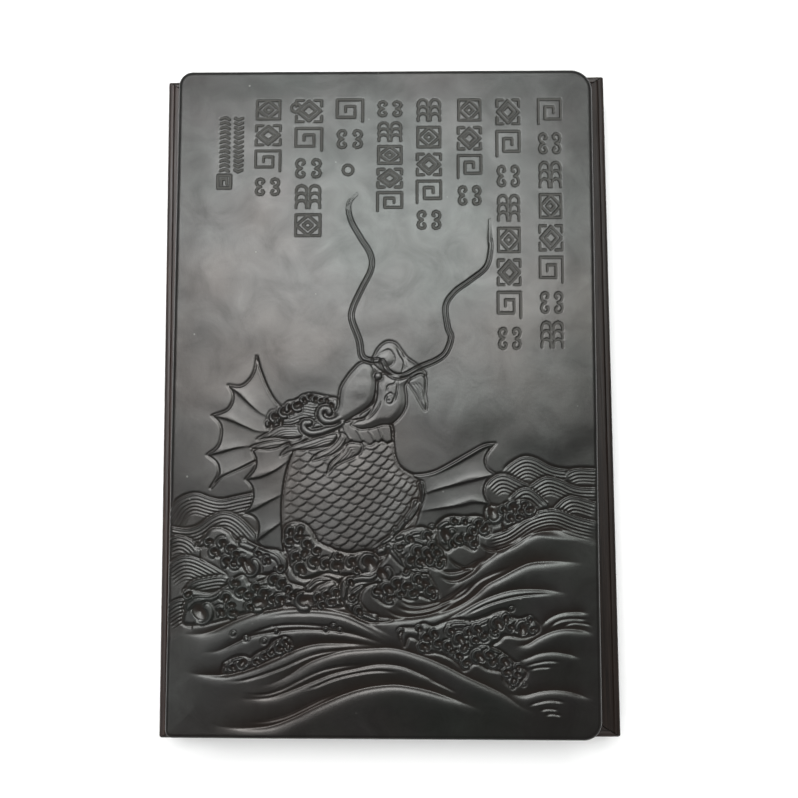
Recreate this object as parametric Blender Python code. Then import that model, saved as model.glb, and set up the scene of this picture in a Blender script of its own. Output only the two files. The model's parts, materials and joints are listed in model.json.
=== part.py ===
"""A covered inkstone standing in a mitred hardwood tray.

The tray is a frame of four rails round a floor panel, on four small feet. The inkstone stands
loose in it on a felt liner, turned a little in its clearance. Its stone cover is a slab for a
carved face, and lifts off a raised lip to show the grinding hall and the ink pool.

Metres, +Z up, +X across the stone, +Y towards its far end. The origin is under the middle of
the tray, on the surface that the feet stand on.
"""

import math

import bmesh
import bpy
from mathutils import Matrix, Vector

MM = 0.001
GAP = 0.3 * MM

# The tray, seen from above
TRAY_WIDTH = 178.0 * MM
TRAY_LENGTH = 262.0 * MM
SIDE_RAIL = 7.5 * MM
END_RAIL = 4.6 * MM
TRAY_CORNER = 1.4 * MM
RAIL_ROUNDOVER = 1.3 * MM
RAIL_ARRIS = 0.4 * MM

# Heights in the tray, from the surface up
PAD_TOP = 1.0 * MM
FOOT_TOP = 5.0 * MM
RAIL_BOTTOM = FOOT_TOP + GAP
RAIL_TOP = 20.0 * MM
PANEL_BOTTOM = 7.6 * MM
PANEL_TOP = 12.0 * MM
LINER_TOP = PANEL_TOP + GAP + 1.0 * MM

# The floor panel's tongue in the rails' groove
TONGUE_BOTTOM = 8.6 * MM
TONGUE_TOP = 10.8 * MM
TONGUE_REACH = 2.2 * MM
PANEL_SHADOW_GAP = 0.5 * MM

# Sliding battens across the underside of the panel
BATTEN_WIDTH = 14.0 * MM
BATTEN_BOTTOM = RAIL_BOTTOM + 0.2 * MM
BATTEN_NECK = 7.0 * MM
BATTEN_DOVETAIL = 10.0 * MM
BATTEN_TOP = 9.2 * MM
BATTEN_Y = 70.0 * MM

# Keys let into the mitres, flush with the outer faces
KEY_DEPTH = 5.2 * MM
KEY_MIDDLE = 14.0 * MM
KEY_THICKNESS = 1.4 * MM

# Feet and their pads
FOOT_SIDE = 20.0 * MM
FOOT_INSET = 2.0 * MM
PAD_RADIUS = 7.0 * MM

# The stone, seen from above; corner radii go far left, far right, near right, near left
STONE_WIDTH = 158.5 * MM
STONE_LENGTH = 250.0 * MM
STONE_CORNERS = (5.6 * MM, 8.2 * MM, 6.6 * MM, 2.8 * MM)
STONE_X = -0.69 * MM
STONE_Y = -0.2 * MM
STONE_TURN = math.radians(-0.47)

# Heights in the stone
STONE_BOTTOM = LINER_TOP + GAP
LEDGE_TOP = 28.0 * MM
LIP_TOP = 30.2 * MM
COVER_BOTTOM = LEDGE_TOP + GAP
COVER_ROOF = 30.8 * MM
COVER_TOP = 40.0 * MM
SKIRT_WIDTH = 6.0 * MM
LIP_CLEARANCE = 0.4 * MM
FACE_SOFTENING = 1.2 * MM
EDGE_CHAMFER = 0.5 * MM

# The hollows worked into the inkstone
HOLLOW_WIDTH = 122.0 * MM
HALL_LENGTH = 168.0 * MM
HALL_NEAR_END = -110.0 * MM
HALL_SHALLOW = 4.6 * MM
HALL_DEEP = 6.2 * MM
POOL_LENGTH = 62.0 * MM
POOL_DEPTH = 11.6 * MM
HOLLOW_CORNER = 12.0 * MM
OVERCUT = 2.0 * MM


def clear_scene():
    for obj in list(bpy.data.objects):
        bpy.data.objects.remove(obj, do_unlink=True)


def new_collection(name):
    collection = bpy.data.collections.new(name)
    bpy.context.scene.collection.children.link(collection)
    return collection


def material(name, colour, roughness):
    made = bpy.data.materials.new(name)
    made.use_nodes = True
    shader = made.node_tree.nodes["Principled BSDF"]
    shader.inputs["Base Color"].default_value = (*colour, 1.0)
    shader.inputs["Roughness"].default_value = roughness
    shader.inputs["Metallic"].default_value = 0.0
    return made


def object_from(bm, name, collection, look=None):
    """An object that holds this bmesh, shaded smooth up to 35 degrees."""
    bmesh.ops.recalc_face_normals(bm, faces=bm.faces)
    mesh = bpy.data.meshes.new(name)
    bm.to_mesh(mesh)
    bm.free()
    mesh.shade_smooth()
    mesh.set_sharp_from_angle(angle=math.radians(35.0))
    obj = bpy.data.objects.new(name, mesh)
    collection.objects.link(obj)
    if look is None:
        obj.hide_render = True
        obj.display_type = "WIRE"
    else:
        mesh.materials.append(look)
    return obj


def box_bmesh(low, high):
    bm = bmesh.new()
    bmesh.ops.create_cube(bm, size=1.0)
    for vert in bm.verts:
        for axis in range(3):
            vert.co[axis] = high[axis] if vert.co[axis] > 0.0 else low[axis]
    return bm


def is_upright(edge):
    along = edge.verts[1].co - edge.verts[0].co
    return abs(along.z) > along.xy.length


def round_corners(bm, radii, segments=8):
    """Rounds a box's upright edges: far left, far right, near right, near left."""
    for x_sign, y_sign, radius in zip((-1, 1, 1, -1), (1, 1, -1, -1), radii):
        uprights = [edge for edge in bm.edges if is_upright(edge)]
        towards = Vector((x_sign, y_sign, 0.0))
        corner = max(uprights, key=lambda edge: edge.verts[0].co.dot(towards))
        bmesh.ops.bevel(
            bm, geom=[corner], offset=radius, segments=segments, profile=0.5, affect="EDGES"
        )


def soften_rim(bm, height, offset, segments):
    """Rounds the edges that lie at this height."""
    rim = [
        edge
        for edge in bm.edges
        if all(abs(vert.co.z - height) < 1e-7 for vert in edge.verts)
    ]
    bmesh.ops.bevel(
        bm, geom=rim, offset=offset, segments=segments, profile=0.5, affect="EDGES"
    )


def boolean(obj, cutter, operation):
    modifier = obj.modifiers.new(cutter.name, "BOOLEAN")
    modifier.operation = operation
    modifier.solver = "EXACT"
    modifier.object = cutter


# The tray


def tray_envelope(cutters):
    """The whole frame's outer shape: rounded corners and a rounded upper edge."""
    half_x, half_y = TRAY_WIDTH / 2, TRAY_LENGTH / 2
    bm = box_bmesh((-half_x, -half_y, RAIL_BOTTOM), (half_x, half_y, RAIL_TOP))
    round_corners(bm, (TRAY_CORNER,) * 4, segments=5)
    soften_rim(bm, RAIL_TOP, RAIL_ROUNDOVER, segments=4)
    soften_rim(bm, RAIL_BOTTOM, RAIL_ARRIS, segments=1)
    return object_from(bm, "tray_envelope", cutters)


def panel_groove(cutters):
    reach = TONGUE_REACH + GAP
    half_x = TRAY_WIDTH / 2 - SIDE_RAIL + reach
    half_y = TRAY_LENGTH / 2 - END_RAIL + reach
    bm = box_bmesh(
        (-half_x, -half_y, TONGUE_BOTTOM - GAP), (half_x, half_y, TONGUE_TOP + GAP)
    )
    return object_from(bm, "panel_groove", cutters)


def corner_plate(depth, thickness):
    """A flat plate across a far right corner, this deep along the diagonal."""
    reach = 30.0 * MM
    bm = box_bmesh((-depth, -reach, -thickness / 2), (reach, reach, thickness / 2))
    turn = Matrix.Rotation(math.radians(45.0), 4, "Z")
    place = Matrix.Translation((TRAY_WIDTH / 2, TRAY_LENGTH / 2, KEY_MIDDLE))
    bmesh.ops.transform(bm, matrix=place @ turn, verts=bm.verts)
    return bm


def at_corner(bm, x_sign, y_sign):
    """Mirrors a far right corner's shape to another corner."""
    bmesh.ops.scale(bm, vec=(x_sign, y_sign, 1.0), verts=bm.verts)
    return bm


def mitred_bar(inner, outer, mitre_inner, mitre_outer):
    """A bar along Y from its inner to its outer face in X, with mitred ends."""
    spare = 1.0 * MM
    slope = (mitre_outer - mitre_inner) / (outer - inner)
    clearance = GAP / 2 * math.hypot(1.0, slope)
    bm = box_bmesh((inner, -1.0, RAIL_BOTTOM - spare), (outer + spare, 1.0, RAIL_TOP + spare))
    for vert in bm.verts:
        end = mitre_inner + slope * (vert.co.x - inner) - clearance
        vert.co.y = math.copysign(end, vert.co.y)
    return bm


def make_rails(parts, look, envelope, groove, slots):
    half_x, half_y = TRAY_WIDTH / 2, TRAY_LENGTH / 2
    inner_x, inner_y = half_x - SIDE_RAIL, half_y - END_RAIL
    quarter = math.radians(90.0)
    for name, side, turn in (
        ("right_rail", True, 0.0),
        ("far_rail", False, quarter),
        ("left_rail", True, 2 * quarter),
        ("near_rail", False, 3 * quarter),
    ):
        if side:
            bm = mitred_bar(inner_x, half_x, inner_y, half_y)
        else:
            bm = mitred_bar(inner_y, half_y, inner_x, half_x)
        bmesh.ops.rotate(bm, matrix=Matrix.Rotation(turn, 3, "Z"), verts=bm.verts)
        rail = object_from(bm, name, parts, look)
        boolean(rail, envelope, "INTERSECT")
        boolean(rail, groove, "DIFFERENCE")
        for slot in slots:
            boolean(rail, slot, "DIFFERENCE")


def make_mitre_keys(parts, cutters, look, envelope):
    """A thin key across each mitre. Returns the cutters of their slots."""
    slots = []
    for where, x_sign, y_sign in (
        ("far_left", -1, 1),
        ("far_right", 1, 1),
        ("near_right", 1, -1),
        ("near_left", -1, -1),
    ):
        bm = at_corner(corner_plate(KEY_DEPTH, KEY_THICKNESS + 2 * GAP), x_sign, y_sign)
        slots.append(object_from(bm, where + "_key_slot", cutters))
        bm = at_corner(corner_plate(KEY_DEPTH - GAP, KEY_THICKNESS), x_sign, y_sign)
        key = object_from(bm, where + "_mitre_key", parts, look)
        boolean(key, envelope, "INTERSECT")
    return slots


def make_floor_panel(parts, cutters, look, batten_slots):
    inner_x = TRAY_WIDTH / 2 - SIDE_RAIL
    inner_y = TRAY_LENGTH / 2 - END_RAIL
    field_x, field_y = inner_x - PANEL_SHADOW_GAP, inner_y - PANEL_SHADOW_GAP
    bm = box_bmesh((-field_x, -field_y, PANEL_BOTTOM), (field_x, field_y, PANEL_TOP))
    soften_rim(bm, PANEL_TOP, EDGE_CHAMFER, segments=1)
    panel = object_from(bm, "floor_panel", parts, look)
    tongue_x, tongue_y = inner_x + TONGUE_REACH, inner_y + TONGUE_REACH
    bm = box_bmesh((-tongue_x, -tongue_y, TONGUE_BOTTOM), (tongue_x, tongue_y, TONGUE_TOP))
    boolean(panel, object_from(bm, "panel_tongue", cutters), "UNION")
    for slot in batten_slots:
        boolean(panel, slot, "DIFFERENCE")


def dovetail_bar(half_length, y, clearance):
    """A batten along X: a flat lower part, a narrower neck and a dovetailed top.

    With a clearance it is the slot that the neck and the dovetail slide in.
    """
    neck = BATTEN_NECK / 2 + clearance
    tail = BATTEN_DOVETAIL / 2 + clearance
    foot = BATTEN_WIDTH / 2
    shoulder = PANEL_BOTTOM - GAP
    top = BATTEN_TOP + clearance
    if clearance:
        profile = [(-neck, shoulder), (-tail, top), (tail, top), (neck, shoulder)]
    else:
        profile = [
            (-foot, BATTEN_BOTTOM),
            (-foot, shoulder),
            (-neck, shoulder),
            (-tail, top),
            (tail, top),
            (neck, shoulder),
            (foot, shoulder),
            (foot, BATTEN_BOTTOM),
        ]
    bm = bmesh.new()
    verts = [bm.verts.new((-half_length, y + across, height)) for across, height in profile]
    face = bm.faces.new(verts)
    grown = bmesh.ops.extrude_face_region(bm, geom=[face])["geom"]
    moved = [item for item in grown if isinstance(item, bmesh.types.BMVert)]
    bmesh.ops.translate(bm, vec=(2 * half_length, 0.0, 0.0), verts=moved)
    return bm


def make_battens(parts, cutters, look):
    """Returns the cutters of the slots across the floor panel."""
    slots = []
    half_length = TRAY_WIDTH / 2 - SIDE_RAIL - GAP
    for where, y in (("far", BATTEN_Y), ("near", -BATTEN_Y)):
        object_from(dovetail_bar(half_length, y, 0.0), where + "_batten", parts, look)
        long_cut = TRAY_WIDTH / 2
        bm = dovetail_bar(long_cut, y, GAP)
        slots.append(object_from(bm, where + "_batten_slot", cutters))
    return slots


def make_feet(parts, foot_look, pad_look):
    x = TRAY_WIDTH / 2 - FOOT_INSET - FOOT_SIDE / 2
    y = TRAY_LENGTH / 2 - FOOT_INSET - FOOT_SIDE / 2
    for where, x_sign, y_sign in (
        ("far_left", -1, 1),
        ("far_right", 1, 1),
        ("near_right", 1, -1),
        ("near_left", -1, -1),
    ):
        half = FOOT_SIDE / 2
        bm = box_bmesh((-half, -half, PAD_TOP + GAP), (half, half, FOOT_TOP))
        round_corners(bm, (2.0 * MM,) * 4, segments=4)
        soften_rim(bm, PAD_TOP + GAP, 0.8 * MM, segments=2)
        foot = object_from(bm, where + "_foot", parts, foot_look)
        foot.location = (x * x_sign, y * y_sign, 0.0)
        bm = bmesh.new()
        bmesh.ops.create_cone(
            bm,
            cap_ends=True,
            segments=32,
            radius1=PAD_RADIUS,
            radius2=PAD_RADIUS,
            depth=PAD_TOP,
        )
        pad = object_from(bm, where + "_pad", parts, pad_look)
        pad.location = (x * x_sign, y * y_sign, PAD_TOP / 2)


def make_liner(parts, look):
    margin = 3.0 * MM
    half_x = TRAY_WIDTH / 2 - SIDE_RAIL - margin
    half_y = TRAY_LENGTH / 2 - END_RAIL - margin
    bm = box_bmesh((-half_x, -half_y, PANEL_TOP + GAP), (half_x, half_y, LINER_TOP))
    round_corners(bm, (4.0 * MM,) * 4, segments=4)
    object_from(bm, "felt_liner", parts, look)


# The stone


def stone_block(bottom, top, inset=0.0):
    """The stone's outline between two heights, drawn in by the inset."""
    half_x, half_y = STONE_WIDTH / 2 - inset, STONE_LENGTH / 2 - inset
    bm = box_bmesh((-half_x, -half_y, bottom), (half_x, half_y, top))
    smallest = 1.2 * MM
    radii = [max(radius - inset, smallest) for radius in STONE_CORNERS]
    round_corners(bm, radii, segments=8)
    return bm


def hollow(y_near, length, shallow, deep):
    """A rounded recess, open upwards, whose floor falls from its near to its far end."""
    top = LIP_TOP + OVERCUT
    half = HOLLOW_WIDTH / 2
    bm = box_bmesh((-half, y_near, 0.0), (half, y_near + length, top))
    for vert in bm.verts:
        if vert.co.z < top / 2:
            depth = shallow if vert.co.y < y_near + length / 2 else deep
            vert.co.z = LIP_TOP - depth
    round_corners(bm, (HOLLOW_CORNER,) * 4, segments=8)
    return bm


def make_inkstone(parts, cutters, look, place):
    bm = stone_block(STONE_BOTTOM, LEDGE_TOP)
    soften_rim(bm, LEDGE_TOP, EDGE_CHAMFER, segments=1)
    soften_rim(bm, STONE_BOTTOM, EDGE_CHAMFER * 2, segments=1)
    body = object_from(bm, "inkstone_body", parts, look)
    lip_bottom = LEDGE_TOP - OVERCUT
    bm = stone_block(lip_bottom, LIP_TOP, SKIRT_WIDTH + LIP_CLEARANCE)
    lip = object_from(bm, "lip", cutters)
    hall = object_from(
        hollow(HALL_NEAR_END, HALL_LENGTH, HALL_SHALLOW, HALL_DEEP), "hall_hollow", cutters
    )
    pool_near = HALL_NEAR_END + HALL_LENGTH - HOLLOW_CORNER
    pool = object_from(
        hollow(pool_near, POOL_LENGTH, POOL_DEPTH, POOL_DEPTH), "pool_hollow", cutters
    )
    boolean(body, lip, "UNION")
    boolean(body, hall, "DIFFERENCE")
    boolean(body, pool, "DIFFERENCE")
    for obj in (body, lip, hall, pool):
        obj.parent = place


def make_cover(parts, cutters, look, place):
    bm = stone_block(COVER_BOTTOM, COVER_TOP)
    soften_rim(bm, COVER_TOP, FACE_SOFTENING, segments=4)
    soften_rim(bm, COVER_BOTTOM, EDGE_CHAMFER, segments=1)
    cover = object_from(bm, "stone_cover", parts, look)
    bm = stone_block(COVER_BOTTOM - OVERCUT, COVER_ROOF, SKIRT_WIDTH)
    recess = object_from(bm, "cover_recess", cutters)
    boolean(cover, recess, "DIFFERENCE")
    for obj in (cover, recess):
        obj.parent = place


def stone_place(parts):
    """The empty that the stone's pieces hang from: where it stands in the tray."""
    place = bpy.data.objects.new("stone_place", None)
    place.location = (STONE_X, STONE_Y, 0.0)
    place.rotation_euler = (0.0, 0.0, STONE_TURN)
    parts.objects.link(place)
    return place


def main():
    clear_scene()
    parts = new_collection("covered_inkstone")
    cutters = new_collection("cutters")

    stone = material("stone", (0.055, 0.050, 0.048), 0.42)
    hardwood = material("hardwood", (0.060, 0.034, 0.027), 0.38)
    panel_wood = material("panel_wood", (0.110, 0.058, 0.040), 0.50)
    felt = material("felt", (0.105, 0.018, 0.020), 0.95)
    cork = material("cork", (0.300, 0.170, 0.085), 0.90)

    envelope = tray_envelope(cutters)
    groove = panel_groove(cutters)
    key_slots = make_mitre_keys(parts, cutters, panel_wood, envelope)
    make_rails(parts, hardwood, envelope, groove, key_slots)
    batten_slots = make_battens(parts, cutters, hardwood)
    make_floor_panel(parts, cutters, panel_wood, batten_slots)
    make_feet(parts, hardwood, cork)
    make_liner(parts, felt)

    place = stone_place(parts)
    make_inkstone(parts, cutters, stone, place)
    make_cover(parts, cutters, stone, place)


main()
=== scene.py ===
"""Carved inkstone, loose in its hardwood tray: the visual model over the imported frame.

The carving is a height map in the stone's own frame, in millimetres, with X to the right and Y away
from the viewer. Everything else is in metres, in the row frame.
"""

import json
import math

import bpy
import numpy as np
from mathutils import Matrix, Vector

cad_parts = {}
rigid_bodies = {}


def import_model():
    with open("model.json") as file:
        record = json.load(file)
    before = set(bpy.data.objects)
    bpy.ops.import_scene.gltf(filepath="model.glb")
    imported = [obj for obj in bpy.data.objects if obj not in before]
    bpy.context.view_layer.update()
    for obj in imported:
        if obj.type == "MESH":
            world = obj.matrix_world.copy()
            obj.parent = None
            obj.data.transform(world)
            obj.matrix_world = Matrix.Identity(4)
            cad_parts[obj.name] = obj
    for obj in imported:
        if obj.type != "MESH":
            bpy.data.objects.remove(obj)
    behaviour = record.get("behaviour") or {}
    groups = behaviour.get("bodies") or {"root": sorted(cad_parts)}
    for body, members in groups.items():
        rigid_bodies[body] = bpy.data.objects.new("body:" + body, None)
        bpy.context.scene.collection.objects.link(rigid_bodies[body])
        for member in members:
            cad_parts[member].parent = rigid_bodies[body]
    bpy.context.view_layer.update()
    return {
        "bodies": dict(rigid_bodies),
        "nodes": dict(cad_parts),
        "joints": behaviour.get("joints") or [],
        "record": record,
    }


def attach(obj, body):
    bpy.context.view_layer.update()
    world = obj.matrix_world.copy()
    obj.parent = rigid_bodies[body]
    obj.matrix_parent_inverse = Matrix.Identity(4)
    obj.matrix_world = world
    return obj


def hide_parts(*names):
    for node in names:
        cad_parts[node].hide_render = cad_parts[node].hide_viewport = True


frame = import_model()
NODES = frame["nodes"]
MM = 0.001

# Sizes, in millimetres, as in the CAD -------------------------------------------------------

TRAY_WIDTH, TRAY_LENGTH = 178.0, 262.0
SIDE_RAIL, END_RAIL = 7.5, 4.6
RAIL_LOW, RAIL_TOP = 5.3, 20.0
STONE_WIDTH, STONE_LENGTH = 158.5, 250.0
STONE_X, STONE_Y = -0.69, -0.2
STONE_TURN = math.radians(-0.47)
STONE_TOP = 40.0
COVER_LOW, COVER_ROOF = 28.3, 30.8
RECESS_INSET = 6.0
# Corner radii: near left, near right, far right, far left.
STONE_CORNERS = (2.8, 6.6, 8.2, 5.6)
FELT_LOW, FELT_TOP = 12.3, 13.3
FELT_WIDTH, FELT_LENGTH = 157.0, 246.8

# The tray's upright corners, and its mitre keys: thickness, gap around them, depth in the corner.
TRAY_CORNER = 1.4
KEY_THICKNESS, KEY_GAP, KEY_DEPTH = 1.4, 0.25, 5.2

# The height map's grid, and the depth in the carving at which its low areas have their full tint.
FACE_PITCH = 0.3
TINT_DEPTH = 1.6
# Distances between the lines on the far mounds, and between hair lines.
RIPPLE_SPACING, HAIR_SPACING = 1.22, 0.9
# Half a side of the studio floor, in metres.
FLOOR_REACH = 0.9

# Curves and falloffs ------------------------------------------------------------------------


def smooth(points, closed=False, step=0.4):
    """A curve through the points, as a dense line."""
    p = [np.array(point, float) for point in points]
    if len(p) == 2:
        count = max(2, int(np.linalg.norm(p[1] - p[0]) / step))
        return p[0] + np.linspace(0.0, 1.0, count)[:, None] * (p[1] - p[0])
    if closed:
        q = [p[-1], *p, p[0], p[1]]
    else:
        q = [2 * p[0] - p[1], *p, 2 * p[-1] - p[-2]]
    runs = []
    for a, b, c, d in zip(q, q[1:], q[2:], q[3:]):
        count = max(2, int(np.linalg.norm(c - b) / step) + 1)
        t = (np.arange(count) / count)[:, None]
        linear = 2 * b + (c - a) * t
        curved = (2 * a - 5 * b + 4 * c - d) * t**2 + (3 * b - a - 3 * c + d) * t**3
        runs.append(0.5 * (linear + curved))
    runs.append(np.array([p[0] if closed else p[-1]]))
    return np.concatenate(runs)


def outline(*runs):
    """A closed outline of smooth runs that meet in sharp corners."""
    return np.concatenate([smooth(run) for run in runs])


def ring(points):
    return smooth(points, closed=True)[:-1]


def arc(center, radius, start, end, count=24):
    """Points on an arc, from start to end in degrees."""
    angles = np.radians(np.linspace(start, end, count))
    return np.stack(
        [center[0] + radius * np.cos(angles), center[1] + radius * np.sin(angles)], axis=1
    )


def spiral(center, outer, inner, start, turn, count=40):
    """Points winding from the outer to the inner radius; start and turn in degrees."""
    t = np.linspace(0.0, 1.0, count)
    angles = np.radians(start + turn * t)
    radius = outer + (inner - outer) * t
    return np.stack(
        [center[0] + radius * np.cos(angles), center[1] + radius * np.sin(angles)], axis=1
    )


def bump(t):
    """1 at 0, falling smoothly to 0 at 1 and beyond."""
    t = np.clip(np.abs(t), 0.0, 1.0)
    return (1.0 - t * t) ** 2


def ease(t):
    t = np.clip(t, 0.0, 1.0)
    return t * t * (3.0 - 2.0 * t)


def fade_ends(along, share):
    return ease(along / share) * ease((1.0 - along) / share)


def round_over(depth, edge):
    """0 at an outline, rising as a quarter round to 1 at the edge width inside it."""
    return np.sqrt(1.0 - (1.0 - np.clip(depth / edge, 0.0, 1.0)) ** 2)


def blur(values, cells, passes=3):
    """Running means along rows and columns, which soften like a bell curve."""
    for _ in range(passes):
        for axis in (0, 1):
            pad = [(0, 0), (0, 0)]
            pad[axis] = (cells + 1, cells)
            total = np.cumsum(np.pad(values, pad, mode="edge"), axis=axis)
            span = 2 * cells + 1
            if axis == 0:
                values = (total[span:] - total[:-span]) / span
            else:
                values = (total[:, span:] - total[:, :-span]) / span
    return values


# Carving ------------------------------------------------------------------------------------


class Face:
    """The stone's upper face as heights in mm over a grid; 0 is the highest the stone reaches."""

    def __init__(self, width, length, pitch):
        self.nx = int(round(width / pitch)) + 1
        self.ny = int(round(length / pitch)) + 1
        self.x = np.linspace(-width / 2, width / 2, self.nx)
        self.y = np.linspace(-length / 2, length / 2, self.ny)
        self.height = np.zeros((self.ny, self.nx))
        self.fresh = np.zeros((self.ny, self.nx))

    def window(self, points, reach):
        """The rows and columns within reach of the points."""
        low = np.min(points, axis=0) - reach
        high = np.max(points, axis=0) + reach
        c0, c1 = np.searchsorted(self.x, (low[0], high[0]))
        r0, r1 = np.searchsorted(self.y, (low[1], high[1]))
        return slice(r0, r1), slice(c0, c1)

    def grid(self, window):
        rows, cols = window
        return self.x[cols][None, :], self.y[rows][:, None]

    def near(self, line, reach):
        """Signed distance to a line, positive on its left, and the place along it, 0 to 1."""
        rows, cols = window = self.window(line, reach)
        x, y = self.x[cols], self.y[rows]
        best = np.full((len(y), len(x)), float(reach))
        along = np.zeros_like(best)
        side = np.ones_like(best)
        steps = np.linalg.norm(np.diff(line, axis=0), axis=1)
        total = max(steps.sum(), 1e-9)
        walked = 0.0
        for a, b, length in zip(line, line[1:], steps):
            if length < 1e-9:
                continue
            low, high = np.minimum(a, b) - reach, np.maximum(a, b) + reach
            c0, c1 = np.searchsorted(x, (low[0], high[0]))
            r0, r1 = np.searchsorted(y, (low[1], high[1]))
            if c0 == c1 or r0 == r1:
                walked += length
                continue
            part = (slice(r0, r1), slice(c0, c1))
            dx, dy = x[None, c0:c1] - a[0], y[r0:r1, None] - a[1]
            ex, ey = (b - a) / length
            t = np.clip(dx * ex + dy * ey, 0.0, length)
            distance = np.hypot(dx - t * ex, dy - t * ey)
            closer = distance < best[part]
            best[part] = np.where(closer, distance, best[part])
            along[part] = np.where(closer, (walked + t) / total, along[part])
            turned = np.where(ex * dy - ey * dx < 0.0, -1.0, 1.0)
            side[part] = np.where(closer, turned, side[part])
            walked += length
        return window, best * side, along

    def inside(self, shape, window):
        """True where the grid lies inside a closed outline."""
        rows, cols = window
        x, y = self.x[cols], self.y[rows]
        found = np.zeros((len(y), len(x)), bool)
        for a, b in zip(shape, np.roll(shape, -1, axis=0)):
            if a[1] == b[1]:
                continue
            low, high = sorted((a[1], b[1]))
            r0, r1 = np.searchsorted(y, (low, high))
            crossing = a[0] + (y[r0:r1] - a[1]) * (b[0] - a[0]) / (b[1] - a[1])
            found[r0:r1] ^= x[None, :] < crossing[:, None]
        return found

    def depth_in(self, shape, reach):
        """Window, and distance from a closed outline: positive inside, negative outside."""
        closed = np.concatenate([shape, shape[:1]])
        window, distance, _ = self.near(closed, reach)
        within = self.inside(shape, window)
        return window, np.where(within, np.abs(distance), -np.abs(distance))

    def sink(self, shape, depth, reach):
        """Lowers the shape to a depth, with the ground round it sloping down to its outline."""
        window, inner = self.depth_in(shape, reach)
        amount = depth * np.where(inner > 0.0, 1.0, bump(inner / reach))
        self.height[window] = np.minimum(self.height[window], -amount)

    def cut(self, points, width, depth, taper=0.25):
        """A rounded groove that runs out at both ends."""
        line = smooth(points)
        window, distance, along = self.near(line, width)
        self.height[window] -= depth * bump(distance / width) * fade_ends(along, taper)

    def ridge(self, points, width, height, taper=0.0):
        """A rounded ridge, which fades out at both ends where it has a taper."""
        line = smooth(points)
        window, distance, along = self.near(line, width)
        run = fade_ends(along, taper) if taper else 1.0
        self.height[window] += height * bump(distance / width) * run

    def swell(self, points, step, crest, foot, back, lift):
        """A wave's lip: the far side dips to its foot, then a rounded crest stands over it.

        The line runs left to right, so the far side is on its left.
        """
        line = smooth(points, step=0.8)
        reach = max(3.0 * foot, 3.0 * back)
        window, distance, along = self.near(line, reach)
        run = fade_ends(along, 0.22)
        fade = ease((reach - np.abs(distance)) / reach)
        far = -step * np.exp(-np.abs(distance) / foot)
        inner = -distance
        top = lift * (1.0 - np.exp(-inner / crest)) * np.exp(-inner / back)
        near = -step * np.exp(-inner / crest) + top
        self.height[window] += np.where(distance > 0.0, far, near) * run * fade

    def plate(self, shape, low, high, edge, groove, groove_width, surface=None):
        """A shape laid over what is there: round-edged, with a groove round its outline."""
        reach = max(edge, groove_width * 2.5)
        window, depth = self.depth_in(shape, reach)
        rounded = 0.5 * round_over(depth, min(edge, 0.7)) + 0.5 * ease(depth / edge)
        x, y = self.grid(window)
        level = low + (high - low) * rounded
        if surface is not None:
            level = level + surface(x, y) * rounded
        outer = groove * np.exp(-((depth / groove_width) ** 2))
        old = self.height[window]
        self.height[window] = np.where(depth > 0.0, level, old - outer)
        return window, depth

    def rope(self, points, radius, lift, groove, end):
        """A round-topped cord over the surface, thinning from start to end."""
        line = smooth(points)
        window, distance, along = self.near(line, radius * 2.4)
        r = radius * (1.0 + (end - 1.0) * along)
        across = np.abs(distance) / r
        top = lift * np.sqrt(np.clip(1.0 - across**2, 0.0, 1.0)) * (0.4 + 0.6 * r / radius)
        beside = groove * np.exp(-(((across - 1.2) / 0.35) ** 2))
        beside = np.where(np.abs(distance) < radius * 2.39, beside, 0.0)
        self.height[window] += top - beside * (0.4 + 0.6 * r / radius)

    def cord(self, line, tube, base, top, start, end):
        """A round cord lying in a bed sunk to the base level."""
        window, distance, along = self.near(line, tube * 1.7)
        distance = np.abs(distance)
        old = self.height[window]
        share = ease((tube * 1.6 - distance) / (tube * 0.5)) * ease(along / 0.15)
        bed = old + share * (np.minimum(old, base) - old)
        across = distance / (tube * (start + (end - start) * along))
        rounded = np.sqrt(np.clip(1.0 - across**2, 0.0, 1.0))
        level = base + (top - base) * rounded
        self.height[window] = np.where(rounded > 0.0, np.maximum(bed, level), bed)

    def scroll(self, x, y, radius, turn, base, top, pit):
        """A hooked curl: a tapering cord with its back toward a direction, bent over a deep pit."""
        window = self.window(np.array([(x, y)]), radius * 1.7)
        gx, gy = self.grid(window)
        angle = math.radians(turn)
        ahead = (gx - x) * math.cos(angle) + (gy - y) * math.sin(angle) + 0.35 * radius
        aside = (gy - y) * math.cos(angle) - (gx - x) * math.sin(angle)
        cone = np.clip(1.0 - np.hypot(ahead / 1.2, aside / 0.85) / radius, 0.0, 1.0)
        old = self.height[window]
        sunk = np.minimum(old, base) - pit * cone
        self.height[window] = old + ease(4.0 * cone) * (sunk - old)
        line = arc((x, y), radius, turn - 75.0, turn + 105.0, 14)
        self.cord(np.array(line), radius * 0.5 + 0.12, base, top, 0.25, 0.85)

    def curl(self, x, y, radius, turn, lift):
        """A small knob with a hollow off its centre."""
        center = np.array((x, y), float)
        window = self.window(center[None, :], radius * 2.0)
        gx, gy = self.grid(window)
        distance = np.hypot(gx - x, gy - y)
        dome = lift * np.sqrt(np.clip(1.0 - (distance / radius) ** 2, 0.0, 1.0))
        moat = 0.42 * lift * np.exp(-(((distance - radius * 1.12) / (0.22 * radius + 0.12)) ** 2))
        direction = math.radians(turn)
        hx = x + 0.30 * radius * math.cos(direction)
        hy = y + 0.30 * radius * math.sin(direction)
        hole = 1.5 * lift * bump(np.hypot(gx - hx, gy - hy) / (0.52 * radius))
        self.height[window] += dome - moat - hole


# Ground and sea ------------------------------------------------------------------------------

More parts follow.
